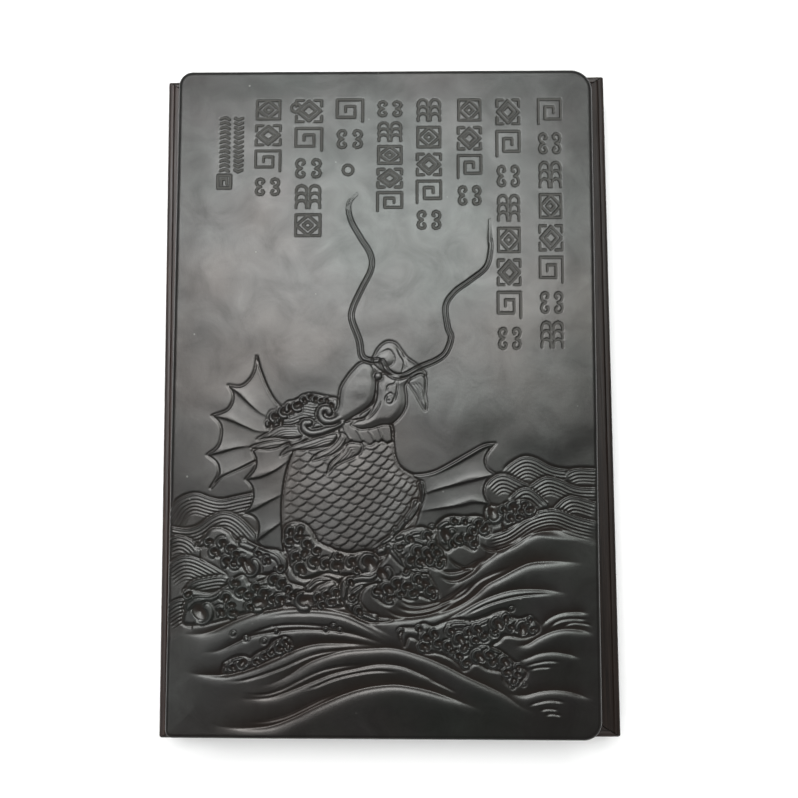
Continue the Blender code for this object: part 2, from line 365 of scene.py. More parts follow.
FIGURE = [
    (-8, 17), (-5, 13.5), (-3, 17.5), (1, 20.5), (5, 20), (9, 15), (14, 12), (16, 7), (17, -4),
    (15, -7), (11, -1), (9.5, -5), (4, -12), (4, -20), (8, -28.5), (14, -30), (26, -25.5),
    (41, -17), (42, -30), (58, -38), (60, -60), (0, -84), (-74, -84), (-70, -55), (-56, -49),
    (-48, -44), (-52, -32), (-62, -32), (-66, -22.5), (-61, -18), (-65, -8), (-58, -1),
    (-59, 4.5), (-53, 4), (-48, 15.5), (-45, 6), (-38, -4.5), (-30, -0.5), (-20, -1.5),
    (-16, 3), (-12, 10),
]
SEA = [
    (-86, -37), (-78, -40), (-71, -36), (-60, -38), (-47, -36), (-30, -45), (0, -45), (30, -40),
    (42, -28), (52, -22), (64, -26), (86, -27), (86, -135), (-86, -135),
]


def carve_ground(face):
    """The ground slopes down to the figure and to the sea, as in sunk relief."""
    face.sink(ring(FIGURE), 0.34, 11.0)
    face.sink(ring(SEA), 0.45, 7.0)
    # The hollow between the throat and the right fin is cut a little deeper.
    face.sink(ring([(6, -14), (9, -22), (18, -25), (16, -14)]), 0.48, 13.0)
    face.height = blur(face.height, 8)


# The sweeping swells: points, step, crest, foot, back and lift, as Face.swell takes them.
SWELLS = [
    (
        [(-8, -76), (-6.5, -79), (-3, -81.5), (3.3, -82.4), (12.8, -81.3), (22.2, -79.5),
         (28.5, -77), (33.6, -73.6), (38, -69.7), (43, -67), (52.6, -62.2), (60.2, -61.2),
         (67.8, -61.3), (75.5, -62)],
        0.75, 1.3, 3.2, 7.0, 0.35,
    ),
    (
        [(22.2, -72.6), (29.8, -66.9), (34.9, -63.1), (40, -59.4), (45, -55.6), (50.2, -52.8),
         (55.3, -51), (62.2, -50), (69.8, -50), (75, -51)],
        0.55, 1.2, 2.2, 6.0, 0.3,
    ),
    (
        [(17.2, -84.1), (22.2, -82.5), (28.5, -79.4), (34.2, -76.2), (39.9, -73.7),
         (46.2, -71.8), (52.5, -71.2), (60.1, -71.5), (68.2, -72.7)],
        0.55, 1.0, 1.8, 5.0, 0.25,
    ),
    (
        [(56.8, -85.1), (60.6, -81.7), (65, -79.8), (70.6, -79.3), (75.7, -79.8)],
        0.45, 0.9, 1.5, 3.5, 0.15,
    ),
    (
        [(47.3, -91.6), (52.3, -91), (56.7, -88.5), (61.8, -86.3), (67.4, -85.4), (73, -86),
         (77.4, -87.5)],
        0.6, 1.0, 2.2, 5.0, 0.25,
    ),
    (
        [(47.9, -97.2), (52.3, -95.9), (56.7, -94.3), (61.7, -93.7), (66.7, -94.3), (72.3, -95.8)],
        0.4, 0.8, 1.6, 3.5, 0.15,
    ),
    (
        [(44.6, -108.2), (50.9, -109.1), (56.5, -107.8), (62.1, -107.2), (67.7, -107.8),
         (73.3, -109.5), (76.4, -110.7)],
        0.5, 0.9, 1.8, 4.0, 0.2,
    ),
    (
        [(-77, -87), (-68.7, -87.9), (-62.4, -86.8), (-54.2, -83.1), (-46, -80.2),
         (-37.1, -78.5), (-27.6, -78.2), (-18.1, -79), (-9.9, -81.3), (-2.3, -85.3), (5.9, -89.3)],
        0.75, 1.5, 2.2, 8.0, 0.4,
    ),
    (
        [(-67.6, -94.5), (-60.3, -93.8), (-54, -91.1), (-48.4, -88.6), (-40.2, -87.1),
         (-30.7, -86.1), (-21.2, -86.3), (-13, -87.2), (-5.4, -89.1), (2.8, -91.8)],
        0.5, 0.7, 1.3, 4.0, 0.15,
    ),
    (
        [(-73.5, -100.5), (-68.4, -102), (-60.8, -102.6), (-54.5, -102.1), (-45.7, -99.4),
         (-36.9, -95.7), (-30.6, -92.9), (-24.3, -91.3), (-16.7, -91), (-8.5, -91.2),
         (0.3, -91.9)],
        0.75, 1.0, 2.0, 5.0, 0.25,
    ),
    (
        [(-46.8, -106.2), (-40.6, -105.3), (-34.3, -102.5), (-27.4, -98.1), (-20.5, -95.3),
         (-12.9, -93.4), (-5.4, -92.8), (4.1, -92.7), (14.6, -95.5), (22.2, -98.5),
         (29.7, -102.2), (37.8, -105.8), (44, -108.8), (50.2, -113), (57.7, -116)],
        0.6, 1.2, 1.8, 6.0, 0.35,
    ),
    (
        [(-54.7, -110.4), (-48, -110.8), (-40.5, -110.3), (-33, -107.7), (-25.4, -104.6),
         (-17.9, -101.7), (-10.4, -100), (-2, -98.4), (6, -98.9), (12.8, -101.3),
         (22, -105.5), (28, -108.5)],
        0.5, 0.8, 1.6, 4.5, 0.2,
    ),
    (
        [(-63.6, -118.9), (-59.8, -120.4), (-53.5, -121.2), (-46.6, -121.2), (-39.7, -120.2),
         (-31.6, -117.1), (-24.1, -113.4), (-14.7, -109.4), (-6.6, -106.9), (2.2, -105.7),
         (8.5, -106), (17.1, -107.7), (24.6, -110.1), (32.1, -112.8), (38.4, -115.2)],
        0.8, 1.2, 2.6, 8.0, 0.4,
    ),
]

# Fine lines that follow the swells: points, width, depth.
STRANDS = [
    ([(-45.9, -82.1), (-37.7, -80.7), (-27.6, -80.2), (-18.1, -80.9), (-10.5, -83.2),
      (2.8, -89.9)], 0.9, 0.18),
    ([(-49.7, -87.8), (-40.2, -84.9), (-30.7, -84.2), (-21.2, -84.8), (-15.5, -85.7)], 0.7, 0.3),
    ([(-58.5, -104.4), (-52.5, -104.4), (-45.6, -102.8), (-36.8, -99.7), (-24.3, -94.7),
      (-8.5, -92.3)], 0.8, 0.35),
    ([(-50.6, -109), (-43, -109.1), (-36.7, -107.4), (-30.5, -104.3), (-23, -100.9), (-14.8, -99),
      (-5.4, -98.2)], 0.7, 0.3),
    ([(-29.8, -107.8), (-24.2, -106.1), (-17.9, -103.6), (-10.4, -101.7), (-2.2, -100.6),
      (7.2, -100.9)], 0.7, 0.35),
    ([(15.9, -103.1), (22.2, -105.9), (27.2, -108.3)], 0.7, 0.2),
    ([(-49.8, -119), (-42.9, -118.9), (-35.4, -117.2), (-28.5, -114.1), (-22.2, -111),
      (-14.7, -107.9)], 0.8, 0.3),
    ([(13.4, -75.7), (19.7, -76.3), (24.8, -75.5), (29.8, -73), (34.3, -68.8), (38.7, -66.3),
      (48.2, -62.6)], 0.9, 0.35),
    ([(28.5, -81.2), (33.6, -78.7), (38.6, -76.5), (44.9, -74.6), (51.2, -73.4), (57.5, -72.9),
      (63.2, -72.7)], 0.7, 0.35),
    ([(59.9, -85.1), (63.7, -82.6), (68.1, -81.7), (75, -81.9)], 0.7, 0.35),
    ([(64.9, -84.8), (68.7, -83.2), (73.7, -83.5), (76.5, -84.6)], 0.6, 0.3),
    ([(51, -98.7), (54.7, -97.7), (59.8, -96.8), (64.8, -97.1)], 0.6, 0.25),
    ([(52.8, -99.9), (56.6, -99.1), (61.6, -98.9)], 0.6, 0.25),
    ([(52.1, -112.7), (55.8, -111.5), (60.8, -110.7), (66.4, -111.4)], 0.7, 0.35),
    ([(56.4, -114.3), (59.6, -113.7), (63.6, -114)], 0.6, 0.3),
    ([(58.3, -115.8), (61.4, -115.5), (64.8, -116.1)], 0.6, 0.3),
    # The trough under the right-hand foam.
    ([(19.7, -64), (24.8, -65.2), (30, -64), (36.8, -60)], 1.0, 0.55),
    ([(23.5, -59.4), (27.3, -62.6), (32.4, -63.8), (38.1, -59.4)], 0.9, 0.5),
    ([(35, -54.4), (38.8, -56.9), (43.8, -56.9), (49.5, -53.7)], 0.9, 0.55),
    ([(20.4, -66.3), (25.4, -68.2), (31.1, -66.3), (36.8, -61.9)], 1.0, 0.5),
    ([(3.3, -76.4), (8.4, -78.8), (14.7, -78.8), (22.2, -76.3), (29.8, -71.3), (35, -67)], 0.9, 0.5),
    ([(4.6, -74), (9.6, -77), (16, -77), (23.5, -74.4), (31, -68.8)], 0.8, 0.5),
    ([(-0.5, -77.6), (5.2, -80.7), (11.5, -81.3), (19.7, -79.4), (28.6, -73.8)], 0.8, 0.4),
]


def carve_swells(face):
    for points, step, crest, foot, back, lift in SWELLS:
        face.swell(points, step, crest, foot, back, lift)
    for points, width, depth in STRANDS:
        face.cut(points, width, depth, taper=0.3)


# Each ripple mound: its crest line, how many lines run under it, and how far down it reaches.
MOUNDS = [
    ([(43.6, -28.3), (47.9, -24.7), (52.2, -22.8), (56.4, -23.6), (62.1, -26.5), (68.5, -27.5),
      (79, -27.2)], 5, 26),
    ([(67, -28.9), (71.3, -27.2), (79, -27.5)], 3, 10),
    ([(52.1, -35), (57.8, -31.1), (61.3, -30.2), (66.3, -31.8), (71.2, -33.9), (79, -34.4)], 4, 12),
    ([(37.2, -33.6), (40.8, -30.1), (45, -29.3), (50, -31.5), (54.2, -33.6)], 4, 12),
    ([(46, -38.5), (49.9, -35), (53.5, -34.3), (57, -36.4), (60.5, -39.9)], 4, 10),
    ([(62.6, -42), (66.2, -38.5), (70.4, -37.4), (79, -39.9)], 4, 9),
    ([(37.8, -51.9), (44.8, -49.8), (52, -44.9), (59.1, -42.4), (64.7, -42.4), (71, -44.8),
      (79, -46.8)], 5, 9),
    ([(-82, -49), (-78, -41.1), (-74.4, -37.8), (-69.2, -36.5), (-64, -38.1), (-59.6, -38.8),
      (-54.4, -37.7), (-46, -36)], 5, 16),
    ([(-82, -47.8), (-74.2, -49.5), (-69, -48.7), (-63.9, -45.1), (-59.5, -43.4), (-55, -44.3),
      (-50.5, -47.6), (-45.3, -53.4)], 5, 14),
    ([(-82, -55.5), (-77.1, -52.2), (-73.4, -52.4), (-70, -54.2), (-67.3, -57.1)], 4, 9),
    ([(-82, -64.5), (-75.4, -59.9), (-70.2, -59.7), (-64.3, -62.2), (-59.1, -65.1), (-56.1, -67.2)], 6, 12),
    ([(-73.6, -72.7), (-70.1, -68.7), (-64.9, -67.3), (-59.8, -66.5), (-56.5, -67.2)], 4, 7),
    ([(-82, -79.5), (-75.8, -75.4), (-69.9, -75.2)], 6, 12),
    ([(-28.5, -70.7), (-24.5, -67.5), (-19.4, -67.5), (-15.4, -70.3)], 4, 6),
]


def carve_mounds(face):
    """Far ripple mounds, each a rounded hill laid over those behind it, with lines that follow it."""
    for points, lines, fall in MOUNDS:
        crest = smooth(points)
        below = np.array([(crest[-1][0], crest[-1][1] - fall), (crest[0][0], crest[0][1] - fall)])
        shape = np.concatenate([crest, below])
        window, distance, along = face.near(crest, fall + 3.0)
        within = face.inside(shape, window)
        depth = np.abs(distance)
        # Lines far from the crest run rounder than the crest itself.
        depth = depth + ease(depth / 4.0) * (blur(depth, 4) - depth)
        groove = 0.5 + 0.5 * np.cos(2.0 * math.pi * depth / RIPPLE_SPACING)
        reach = (lines + 1) * RIPPLE_SPACING
        strength = ease((reach + 0.4 - depth) / 0.8) * fade_ends(along, 0.12)
        level = -0.26 - 0.045 * depth - 0.22 * groove**1.3 * strength - 0.3 * np.exp(-depth / 0.5)
        old = face.height[window]
        lip = 0.3 * np.exp(-((depth / 0.7) ** 2)) * fade_ends(along, 0.1)
        share = ease((fall - depth) / 3.0)
        laid = old + share * (np.maximum(level, old - 0.6) - old)
        face.height[window] = np.where(within, laid, old - lip)


# Fish ----------------------------------------------------------------------------------------

BACK_FIN = outline(
    [(-47.6, 14.4), (-48.4, 9), (-50.6, 5.2), (-53.6, 3.2), (-58, 3.6)],
    [(-58, 3.6), (-56.4, 0.4), (-56.6, -3), (-58.6, -5.8), (-63.8, -7.8)],
    [(-63.8, -7.8), (-61, -10.8), (-60.4, -14.4), (-61.4, -19), (-65.4, -22.4)],
    [(-65.4, -22.4), (-62, -25.2), (-61, -28.6), (-62, -31.4), (-64, -34.6)],
    [(-64, -34.6), (-60.4, -30.8), (-56.8, -29), (-50.8, -26.4), (-41.2, -21.2), (-35.4, -18.2)],
    [(-35.4, -18.2), (-34, -12), (-32.6, -9.2)],
    [(-32.6, -9.2), (-37, -5.6), (-40.8, -1.8), (-43.8, 3.4), (-46.2, 9.4), (-47.6, 14.4)],
)
BACK_RIBS = [
    [(-57.8, 3.2), (-54, 0.6), (-49.8, -3.4), (-46, -6.6), (-42.6, -8.4)],
    [(-63.2, -7.8), (-57.4, -9.2), (-51.8, -11.6), (-47.4, -13.4), (-43.2, -13.8)],
    [(-65, -22.4), (-60.6, -21.2), (-54.6, -19.6), (-48.8, -19)],
    [(-63.6, -34), (-59.8, -30.4), (-53.4, -27), (-48, -24)],
]
LOW_FIN = outline(
    [(-48.8, -20.8), (-47.4, -24), (-47.8, -27.4), (-51, -31.4)],
    [(-51, -31.4), (-48.8, -34), (-48.2, -37.8), (-49.4, -41.4), (-51.4, -43.6)],
    [(-51.4, -43.6), (-47.4, -45.4), (-46, -49), (-46.8, -54.2)],
    [(-46.8, -54.2), (-42.2, -57.8), (-36.4, -57.8)],
    [(-36.4, -57.8), (-37.4, -43.2), (-37, -35.8), (-35.8, -28.6), (-33.2, -21.2), (-35.4, -18.2)],
    [(-35.4, -18.2), (-42.8, -18.2), (-48.8, -20.8)],
)
LOW_RIBS = [
    [(-50.6, -31.2), (-45.6, -30.2), (-40.4, -28), (-35, -24.2)],
    [(-51, -43.6), (-47, -41.8), (-41.8, -39), (-36.6, -36.4)],
    [(-46.8, -53.8), (-43.2, -51), (-39.8, -48.6), (-36.8, -46.4)],
]
RIGHT_FIN = outline(
    [(8, -28.4), (10.8, -29.4), (14.4, -29.4), (19.4, -28.2), (25.2, -25.2), (31.6, -21.6),
     (37.2, -18.6), (41.4, -18)],
    [(41.4, -18), (38.8, -21.2), (37.6, -24), (38.4, -27.2), (41.4, -29.4)],
    [(41.4, -29.4), (38.4, -31.8), (37.2, -35), (37.6, -37.8), (39.6, -40.6)],
    [(39.6, -40.6), (37.8, -43.4), (37.8, -47)],
    [(37.8, -47), (26.4, -49), (8, -49.5)],
    [(8, -49.5), (8, -28.4)],
)
RIGHT_RIBS = [
    [(41, -18.2), (36.8, -19.6), (31.2, -22.8), (25, -26.4), (19, -29.4)],
    [(40.4, -29.6), (33.6, -31.2), (26.6, -33), (19.4, -35), (12.5, -37.5)],
    [(39.4, -40.2), (33.6, -39.4), (28, -40.6), (19.4, -42), (13, -43)],
]
BODY = ring([
    (-33.2, -21.2), (-26.6, -15.2), (-17.6, -11.4), (-8.8, -9.2), (2.4, -10.8), (3.6, -17.4),
    (4.6, -23.2), (6.8, -27), (10.8, -29.8), (13.6, -32.6), (14.2, -37.2), (12.8, -44.6),
    (9.8, -51.8), (5.4, -57.6), (-8.4, -61.2), (-23.2, -61.4), (-35, -57.8), (-37, -50.4),
    (-37.4, -43.2), (-37, -35.8), (-35.8, -28.6),
])


# A fin's ribs: how far one reaches, its height, and how far it falls away on either side.
RIB_REACH, RIB_HEIGHT, RIB_RISE, RIB_DROP = 8.0, 0.6, 2.4, 0.30


def carve_web(face, shape, ribs, low, high):
    """A fin: a thin plate with a dished web between ribs that stand up as sharp ridges."""
    face.plate(shape, low, high, 0.9, groove=0.28, groove_width=0.5)
    for points in ribs:
        line = smooth(points)
        window, distance, along = face.near(line, RIB_REACH)
        inside = face.inside(shape, window)
        # The web rises slowly to each rib from the far side and drops sharply on its near side.
        if line[0][0] > line[-1][0]:
            distance = -distance
        rise = np.exp(-distance / RIB_RISE) * ease((RIB_REACH - distance) / 4.0)
        drop = np.exp(distance / RIB_DROP)
        side = ease(1.2 - along) * (0.5 + 0.5 * ease(along / 0.3))
        height = RIB_HEIGHT * np.where(distance > 0.0, rise, drop) * side
        face.height[window] += np.where(inside, height, 0.0)
    window, depth = face.depth_in(shape, 1.6)
    rim = 0.10 * np.exp(-(((depth - 0.5) / 0.4) ** 2))
    face.height[window] += np.where(depth > 0.0, rim, 0.0)


# Scales: the width of one, the distance between rows, and how far an edge curves down, in mm.
SCALE_WIDTH, SCALE_ROW, SCALE_DROP = 6.3, 2.3, 1.45
# The body turns away as a cylinder of this radius would, from this place.
BODY_RADIUS, BODY_X = 41.0, -22.0


def flank(x, y):
    """The body's slow fall away from its highest point."""
    return -0.0009 * (x + 14.0) ** 2 - 0.0002 * (y + 30.0) ** 2


def carve_body(face):
    """The body: a rounded flank covered with scales that overlap toward the tail."""
    window, depth = face.plate(BODY, -1.0, -0.10, 6.5, groove=0.28, groove_width=0.5, surface=flank)
    x, y = face.grid(window)
    # Scales narrow toward the body's right edge, as on a cylinder, and their rows bend up there.
    across = BODY_RADIUS * np.arcsin(np.clip((x - BODY_X) / BODY_RADIUS, -0.98, 0.98))
    bend = np.clip(x - BODY_X, 0.0, None)
    down = y - 0.10 * (x - BODY_X) - 0.0065 * bend**2
    scales = np.zeros(depth.shape)
    first = int(math.floor(down.min() / SCALE_ROW)) - 1
    last = int(math.ceil(down.max() / SCALE_ROW)) + 2
    for row in range(first, last):
        shift = 0.5 * (row % 2)
        place = across / SCALE_WIDTH - shift
        off = 2.0 * (place - np.round(place))
        edge = row * SCALE_ROW - SCALE_DROP * (1.0 - np.clip(np.abs(off), 0.0, 1.0) ** 1.9)
        above = down - edge
        shown = above >= 0.0
        tilt = 0.27 * (1.0 - above / (SCALE_ROW + SCALE_DROP))
        lip = 1.0 - 0.8 * np.exp(-above / 0.22)
        # Each scale also laps over its right-hand neighbour.
        crown = 0.10 * (1.0 - off**2) + 0.035 * off
        scales = np.where(shown, tilt * lip + crown, scales)
    fade = ease((depth - 0.4) / 1.6)
    face.height[window] += np.where(depth > 0.0, (scales - 0.32) * fade, 0.0)


CREST = ring([
    (-8.8, 11.8), (-5.8, 12.2), (-3.6, 9.4), (-2.8, 5.6), (-3, 1.2), (-4.2, -2.6), (-7.2, -5.6),
    (-11.4, -8.2), (-15.8, -10.8), (-19.8, -12.8), (-21.6, -13.4), (-21.2, -11.6), (-19.8, -11.2),
    (-18.6, -9.6), (-19.6, -8.8), (-18.4, -7.2), (-16.8, -4), (-16.6, -1), (-15.8, 3),
    (-13.2, 7.2), (-11, 9.8),
])
# The crest runs back into two horns with curled ends.
HORN_ENDS = [
    [(-15.4, -10.4), (-19.6, -12.4), (-23.6, -13.9), (-27.2, -14.2), (-29.6, -12.6), (-29.5, -10.6),
     (-27.6, -10.4)],
    [(-16.0, -8.4), (-19.2, -9.8), (-22, -9.6), (-23.6, -7.6), (-22.9, -5.4), (-20.8, -5.2),
     (-20.2, -6.4)],
]
SNOUT = ring([
    (-4.2, 12.6), (-3.2, 15.2), (-2.2, 17.2), (0, 19.4), (2.2, 20), (4.6, 19.2), (6.6, 16.6),
    (8.6, 14), (11.6, 11.8), (13.8, 10), (15.6, 7.4), (12.2, 6.4), (8.6, 5.6), (5, 6.4),
    (1.4, 7.8), (-2.2, 10),
])
NOSE = ring([(-2.8, 14.4), (-1.8, 12.2), (0.4, 10.4), (2.6, 10.8), (4, 12.6), (3.6, 15.2), (1.4, 17)])
JAW = ring([
    (-2.8, 3.2), (-0.6, 7.8), (3.6, 7.2), (7.2, 6.4), (9.6, 6.4), (8, 3.2), (8.4, -0.8),
    (8.2, -4.4), (6.2, -8), (3, -10.8), (-0.6, -11.2), (-4.6, -12.4), (-8.8, -12.6),
    (-11.8, -11.2), (-10, -9.8), (-7.4, -9), (-5.2, -7), (-3.6, -3.6), (-2.6, -0.4),
])
CHIN = ring([
    (8.8, 5), (10.8, 6.4), (13.8, 7.8), (15.6, 6.4), (15.8, 3.6), (15.6, 0), (16, -3),
    (15.6, -5.8), (13.8, -3.2), (12, 0.2), (10.2, 2.8),
])
COLLAR = outline(
    [(-17.6, -10.4), (-17, -13), (-15.8, -16.2)],
    [(-15.8, -16.2), (-14.8, -18), (-13.2, -18.2), (-11.8, -17)],
    [(-11.8, -17), (-10.4, -18.4), (-8.6, -18.4), (-7.6, -17.4)],
    [(-7.6, -17.4), (-6, -18.6), (-4.2, -18.6), (-3.2, -17.4)],
    [(-3.2, -17.4), (-1.8, -17.9), (-0.6, -16.8)],
    [(-0.6, -16.8), (1.2, -17.9), (3.4, -17.2)],
    [(3.4, -17.2), (3, -13), (2.2, -10)],
    [(2.2, -10), (-6, -9), (-17.6, -10.4)],
)
COLLAR_RIBS = [
    [(-15, -11.2), (-13.8, -14.4), (-11.9, -17)],
    [(-10.6, -12.2), (-8.8, -14.8), (-7.7, -17.3)],
    [(-6.4, -12.4), (-4.4, -14.8), (-3.3, -17.3)],
    [(-2.2, -11.6), (-1, -14.4), (-0.6, -16.8)],
]
HAIR = ring([
    (-17, -1.8), (-16.2, -7), (-19.2, -9.2), (-25, -10), (-31, -11.2), (-38.4, -11.4),
    (-42.8, -13), (-43.4, -10), (-41.4, -7.4), (-37.8, -5.2), (-34, -2.6), (-29.6, -0.4),
    (-26.6, 0.4), (-21.4, -0.6),
])
HAIR_CURLS = [
    (-41.8, -10.8, 1.4, 30), (-40.4, -8.2, 1.6, 60), (-38.2, -9.8, 1.2, 20), (-37, -6.3, 1.7, 80),
    (-34.4, -5, 1.6, 40), (-32.2, -4, 1.6, 100), (-29.6, -1.8, 1.1, 60), (-27.4, -0.9, 1.1, 90),
    (-25.4, -1.6, 1.1, 50), (-23.4, -2.1, 1.0, 90), (-21.3, -1.9, 0.9, 60), (-19.6, -3.6, 1.0, 20),
]
# A hair line across the mane: x, and its height over the line's own base.
HAIR_STRAND = [(-17.3, 1.0), (-21, 1.3), (-25.5, -0.3), (-30, 0.2), (-34.5, -1.3), (-39, -1.2)]
# Outlines of the locks of the mane.
LOCKS = [
    [(-26.8, -24.4), (-24.2, -21.8), (-20.6, -20), (-17.6, -17.4), (-15.8, -14.4), (-13.6, -16),
     (-15, -19.6), (-18.2, -22.2), (-22.8, -23.6)],
    [(-20.6, -29.6), (-19.8, -25.8), (-17.6, -23.4), (-15, -20.8), (-13.4, -18.2), (-10.2, -17.8),
     (-7.6, -18.8), (-8.6, -21.8), (-11.6, -23.6), (-15.6, -25.2), (-18.2, -27)],
    [(-38, -22.8), (-35.8, -20), (-31.6, -18.2), (-26.4, -16.6), (-22, -15), (-17.6, -14.4),
     (-17.6, -16.6), (-20.6, -19.2), (-25, -20), (-29.4, -20.4), (-33.8, -20.8)],
    [(-49.2, -19.6), (-45.8, -18.2), (-41.4, -17.2), (-35.4, -16.6), (-31, -16.4), (-35.4, -17.8),
     (-39, -19.6), (-43.6, -20.4)],
    [(-47, -16.6), (-42.8, -14), (-38.4, -11.6), (-32.4, -11.2), (-29.8, -12.6), (-29.4, -15.2),
     (-34, -16.4), (-39.2, -16), (-43.6, -16.2)],
]
LEFT_WHISKER = [
    (-10.4, 76.4), (-13.4, 72.6), (-12.6, 66.4), (-9, 59.8), (-5.2, 53.4), (-4.8, 47.6),
    (-8.6, 39.6), (-11.6, 32.8), (-12, 28.2), (-9.2, 20.4), (-8.2, 14.6), (-5.4, 12.8), (-2.2, 12.8),
]
RIGHT_WHISKER = [
    (40, 66.2), (40, 60.2), (40.2, 54.8), (38.4, 48.2), (32.2, 43), (26.6, 38.8), (23.2, 33.4),
    (24, 25.2), (25.2, 21.4), (23.2, 15.8), (19.4, 12.8), (13.2, 10.2), (8.6, 7.6), (5, 6.8),
    (1.6, 8.6), (-0.6, 12.4),
]


def carve_locks(face):
    """The mane's loose locks, each a raised tuft with hair lines along it."""
    for points in LOCKS:
        shape = ring(points)
        face.plate(shape, -0.62, -0.25, 1.1, groove=0.25, groove_width=0.4)
        upper = smooth(points[: len(points) // 2 + 1])
        # Hair lines keep their distance from the lock's upper edge.
        window, distance, along = face.near(upper, 6.0)
        inner = face.inside(shape, window)
        wave = 0.5 + 0.5 * np.cos(2.0 * math.pi * np.abs(distance) / HAIR_SPACING)
        cut = 0.16 * wave**2 * fade_ends(along, 0.15)
        face.height[window] -= np.where(inner, cut, 0.0)


def carve_head(face):
    """The head from back to front: collar, mane, snout, chin, jaw, nose, crest, horns and eye."""
    face.plate(COLLAR, -0.62, -0.34, 0.8, groove=0.2, groove_width=0.4)
    for points in COLLAR_RIBS:
        face.ridge(points, 0.5, 0.16)
    carve_locks(face)
    face.plate(HAIR, -0.75, -0.25, 1.6, groove=0.25, groove_width=0.5)
    for index in range(8):
        low = -10.0 + 1.05 * index
        strand = [(x, low + rise) for x, rise in HAIR_STRAND]
        face.cut(strand, 0.42, 0.22, taper=0.15)
    for index, (x, y, radius, turn) in enumerate(HAIR_CURLS):
        face.scroll(x, y, radius * 1.12, turn + (100 if index % 2 else 60), -0.5, -0.08, 0.8)
    face.plate(SNOUT, -0.62, -0.06, 2.6, groove=0.3, groove_width=0.45)
    face.plate(CHIN, -0.6, -0.25, 1.2, groove=0.25, groove_width=0.4)
    for shift in (0.0, 1.2, 2.4):
        points = [(9.8 + shift, 5.2), (12 + shift, 2.6), (13.6 + 0.6 * shift, -1), (14.6 + 0.4 * shift, -4)]
        face.cut(points, 0.4, 0.16)
    face.plate(JAW, -0.7, -0.1, 3.0, groove=0.32, groove_width=0.45)
    face.cut([(-10, -9.4), (-8.2, -6.6), (-5.2, -4.8), (-3.2, -2.6), (-2.8, -0.4)], 0.5, 0.3)
    face.cut([(-7.4, -9.6), (-4.6, -7.8), (-2.2, -5.0), (-0.8, -1.6)], 0.45, 0.2)
    face.cut([(4.8, 6.4), (5.2, 3.6), (4.8, 0.6), (4, -3)], 0.5, 0.25)
    face.cut([(1.2, 0.2), (1.6, 3.2), (4, 4.2), (4.8, 6.4)], 0.45, 0.22)
    face.cut([(0.6, -3.0), (1.0, -0.6), (2.6, 0.6), (4.0, -0.8), (3.4, -3.4)], 0.4, 0.22)
    face.curl(2.2, -1.9, 1.3, 200, lift=0.22)
    face.plate(NOSE, -0.42, 0.0, 2.4, groove=0.12, groove_width=0.4)
    face.cut([(4.6, 18.4), (6.2, 15.2), (7.6, 12.6), (7.2, 9.4), (6.2, 7.4)], 0.5, 0.24)
    face.cut([(6.8, 16.2), (8, 13.6), (8.6, 11.2), (8, 8.6)], 0.4, 0.18)
    face.plate(CREST, -0.62, -0.12, 2.4, groove=0.32, groove_width=0.5)
    face.ridge([(-7.6, 6.8), (-8.6, 2.4), (-9.8, -2.2)], 4.6, 0.12, taper=0.4)
    for points in HORN_ENDS:
        face.cord(smooth(points), 1.45, -0.72, -0.06, 0.9, 0.95)
    # The eye: a ball in a ring.
    face.curl(-2.1, 7.0, 2.1, 0, lift=0.16)
    face.plate(ring(arc((-2.1, 7.0), 1.55, 0, 345, 12)), -0.4, 0.0, 1.5, groove=0.4, groove_width=0.4)


def carve_whiskers(face):
    for points in (LEFT_WHISKER, RIGHT_WHISKER):
        line = smooth(points)
        window, distance, along = face.near(line, 1.4)
        dip = 0.30 * bump(distance / 1.4) * ease(along / 0.12)
        face.height[window] -= dip
        face.rope(points[::-1], 0.74, 0.42, groove=0.32, end=0.4)


# Foam ----------------------------------------------------------------------------------------

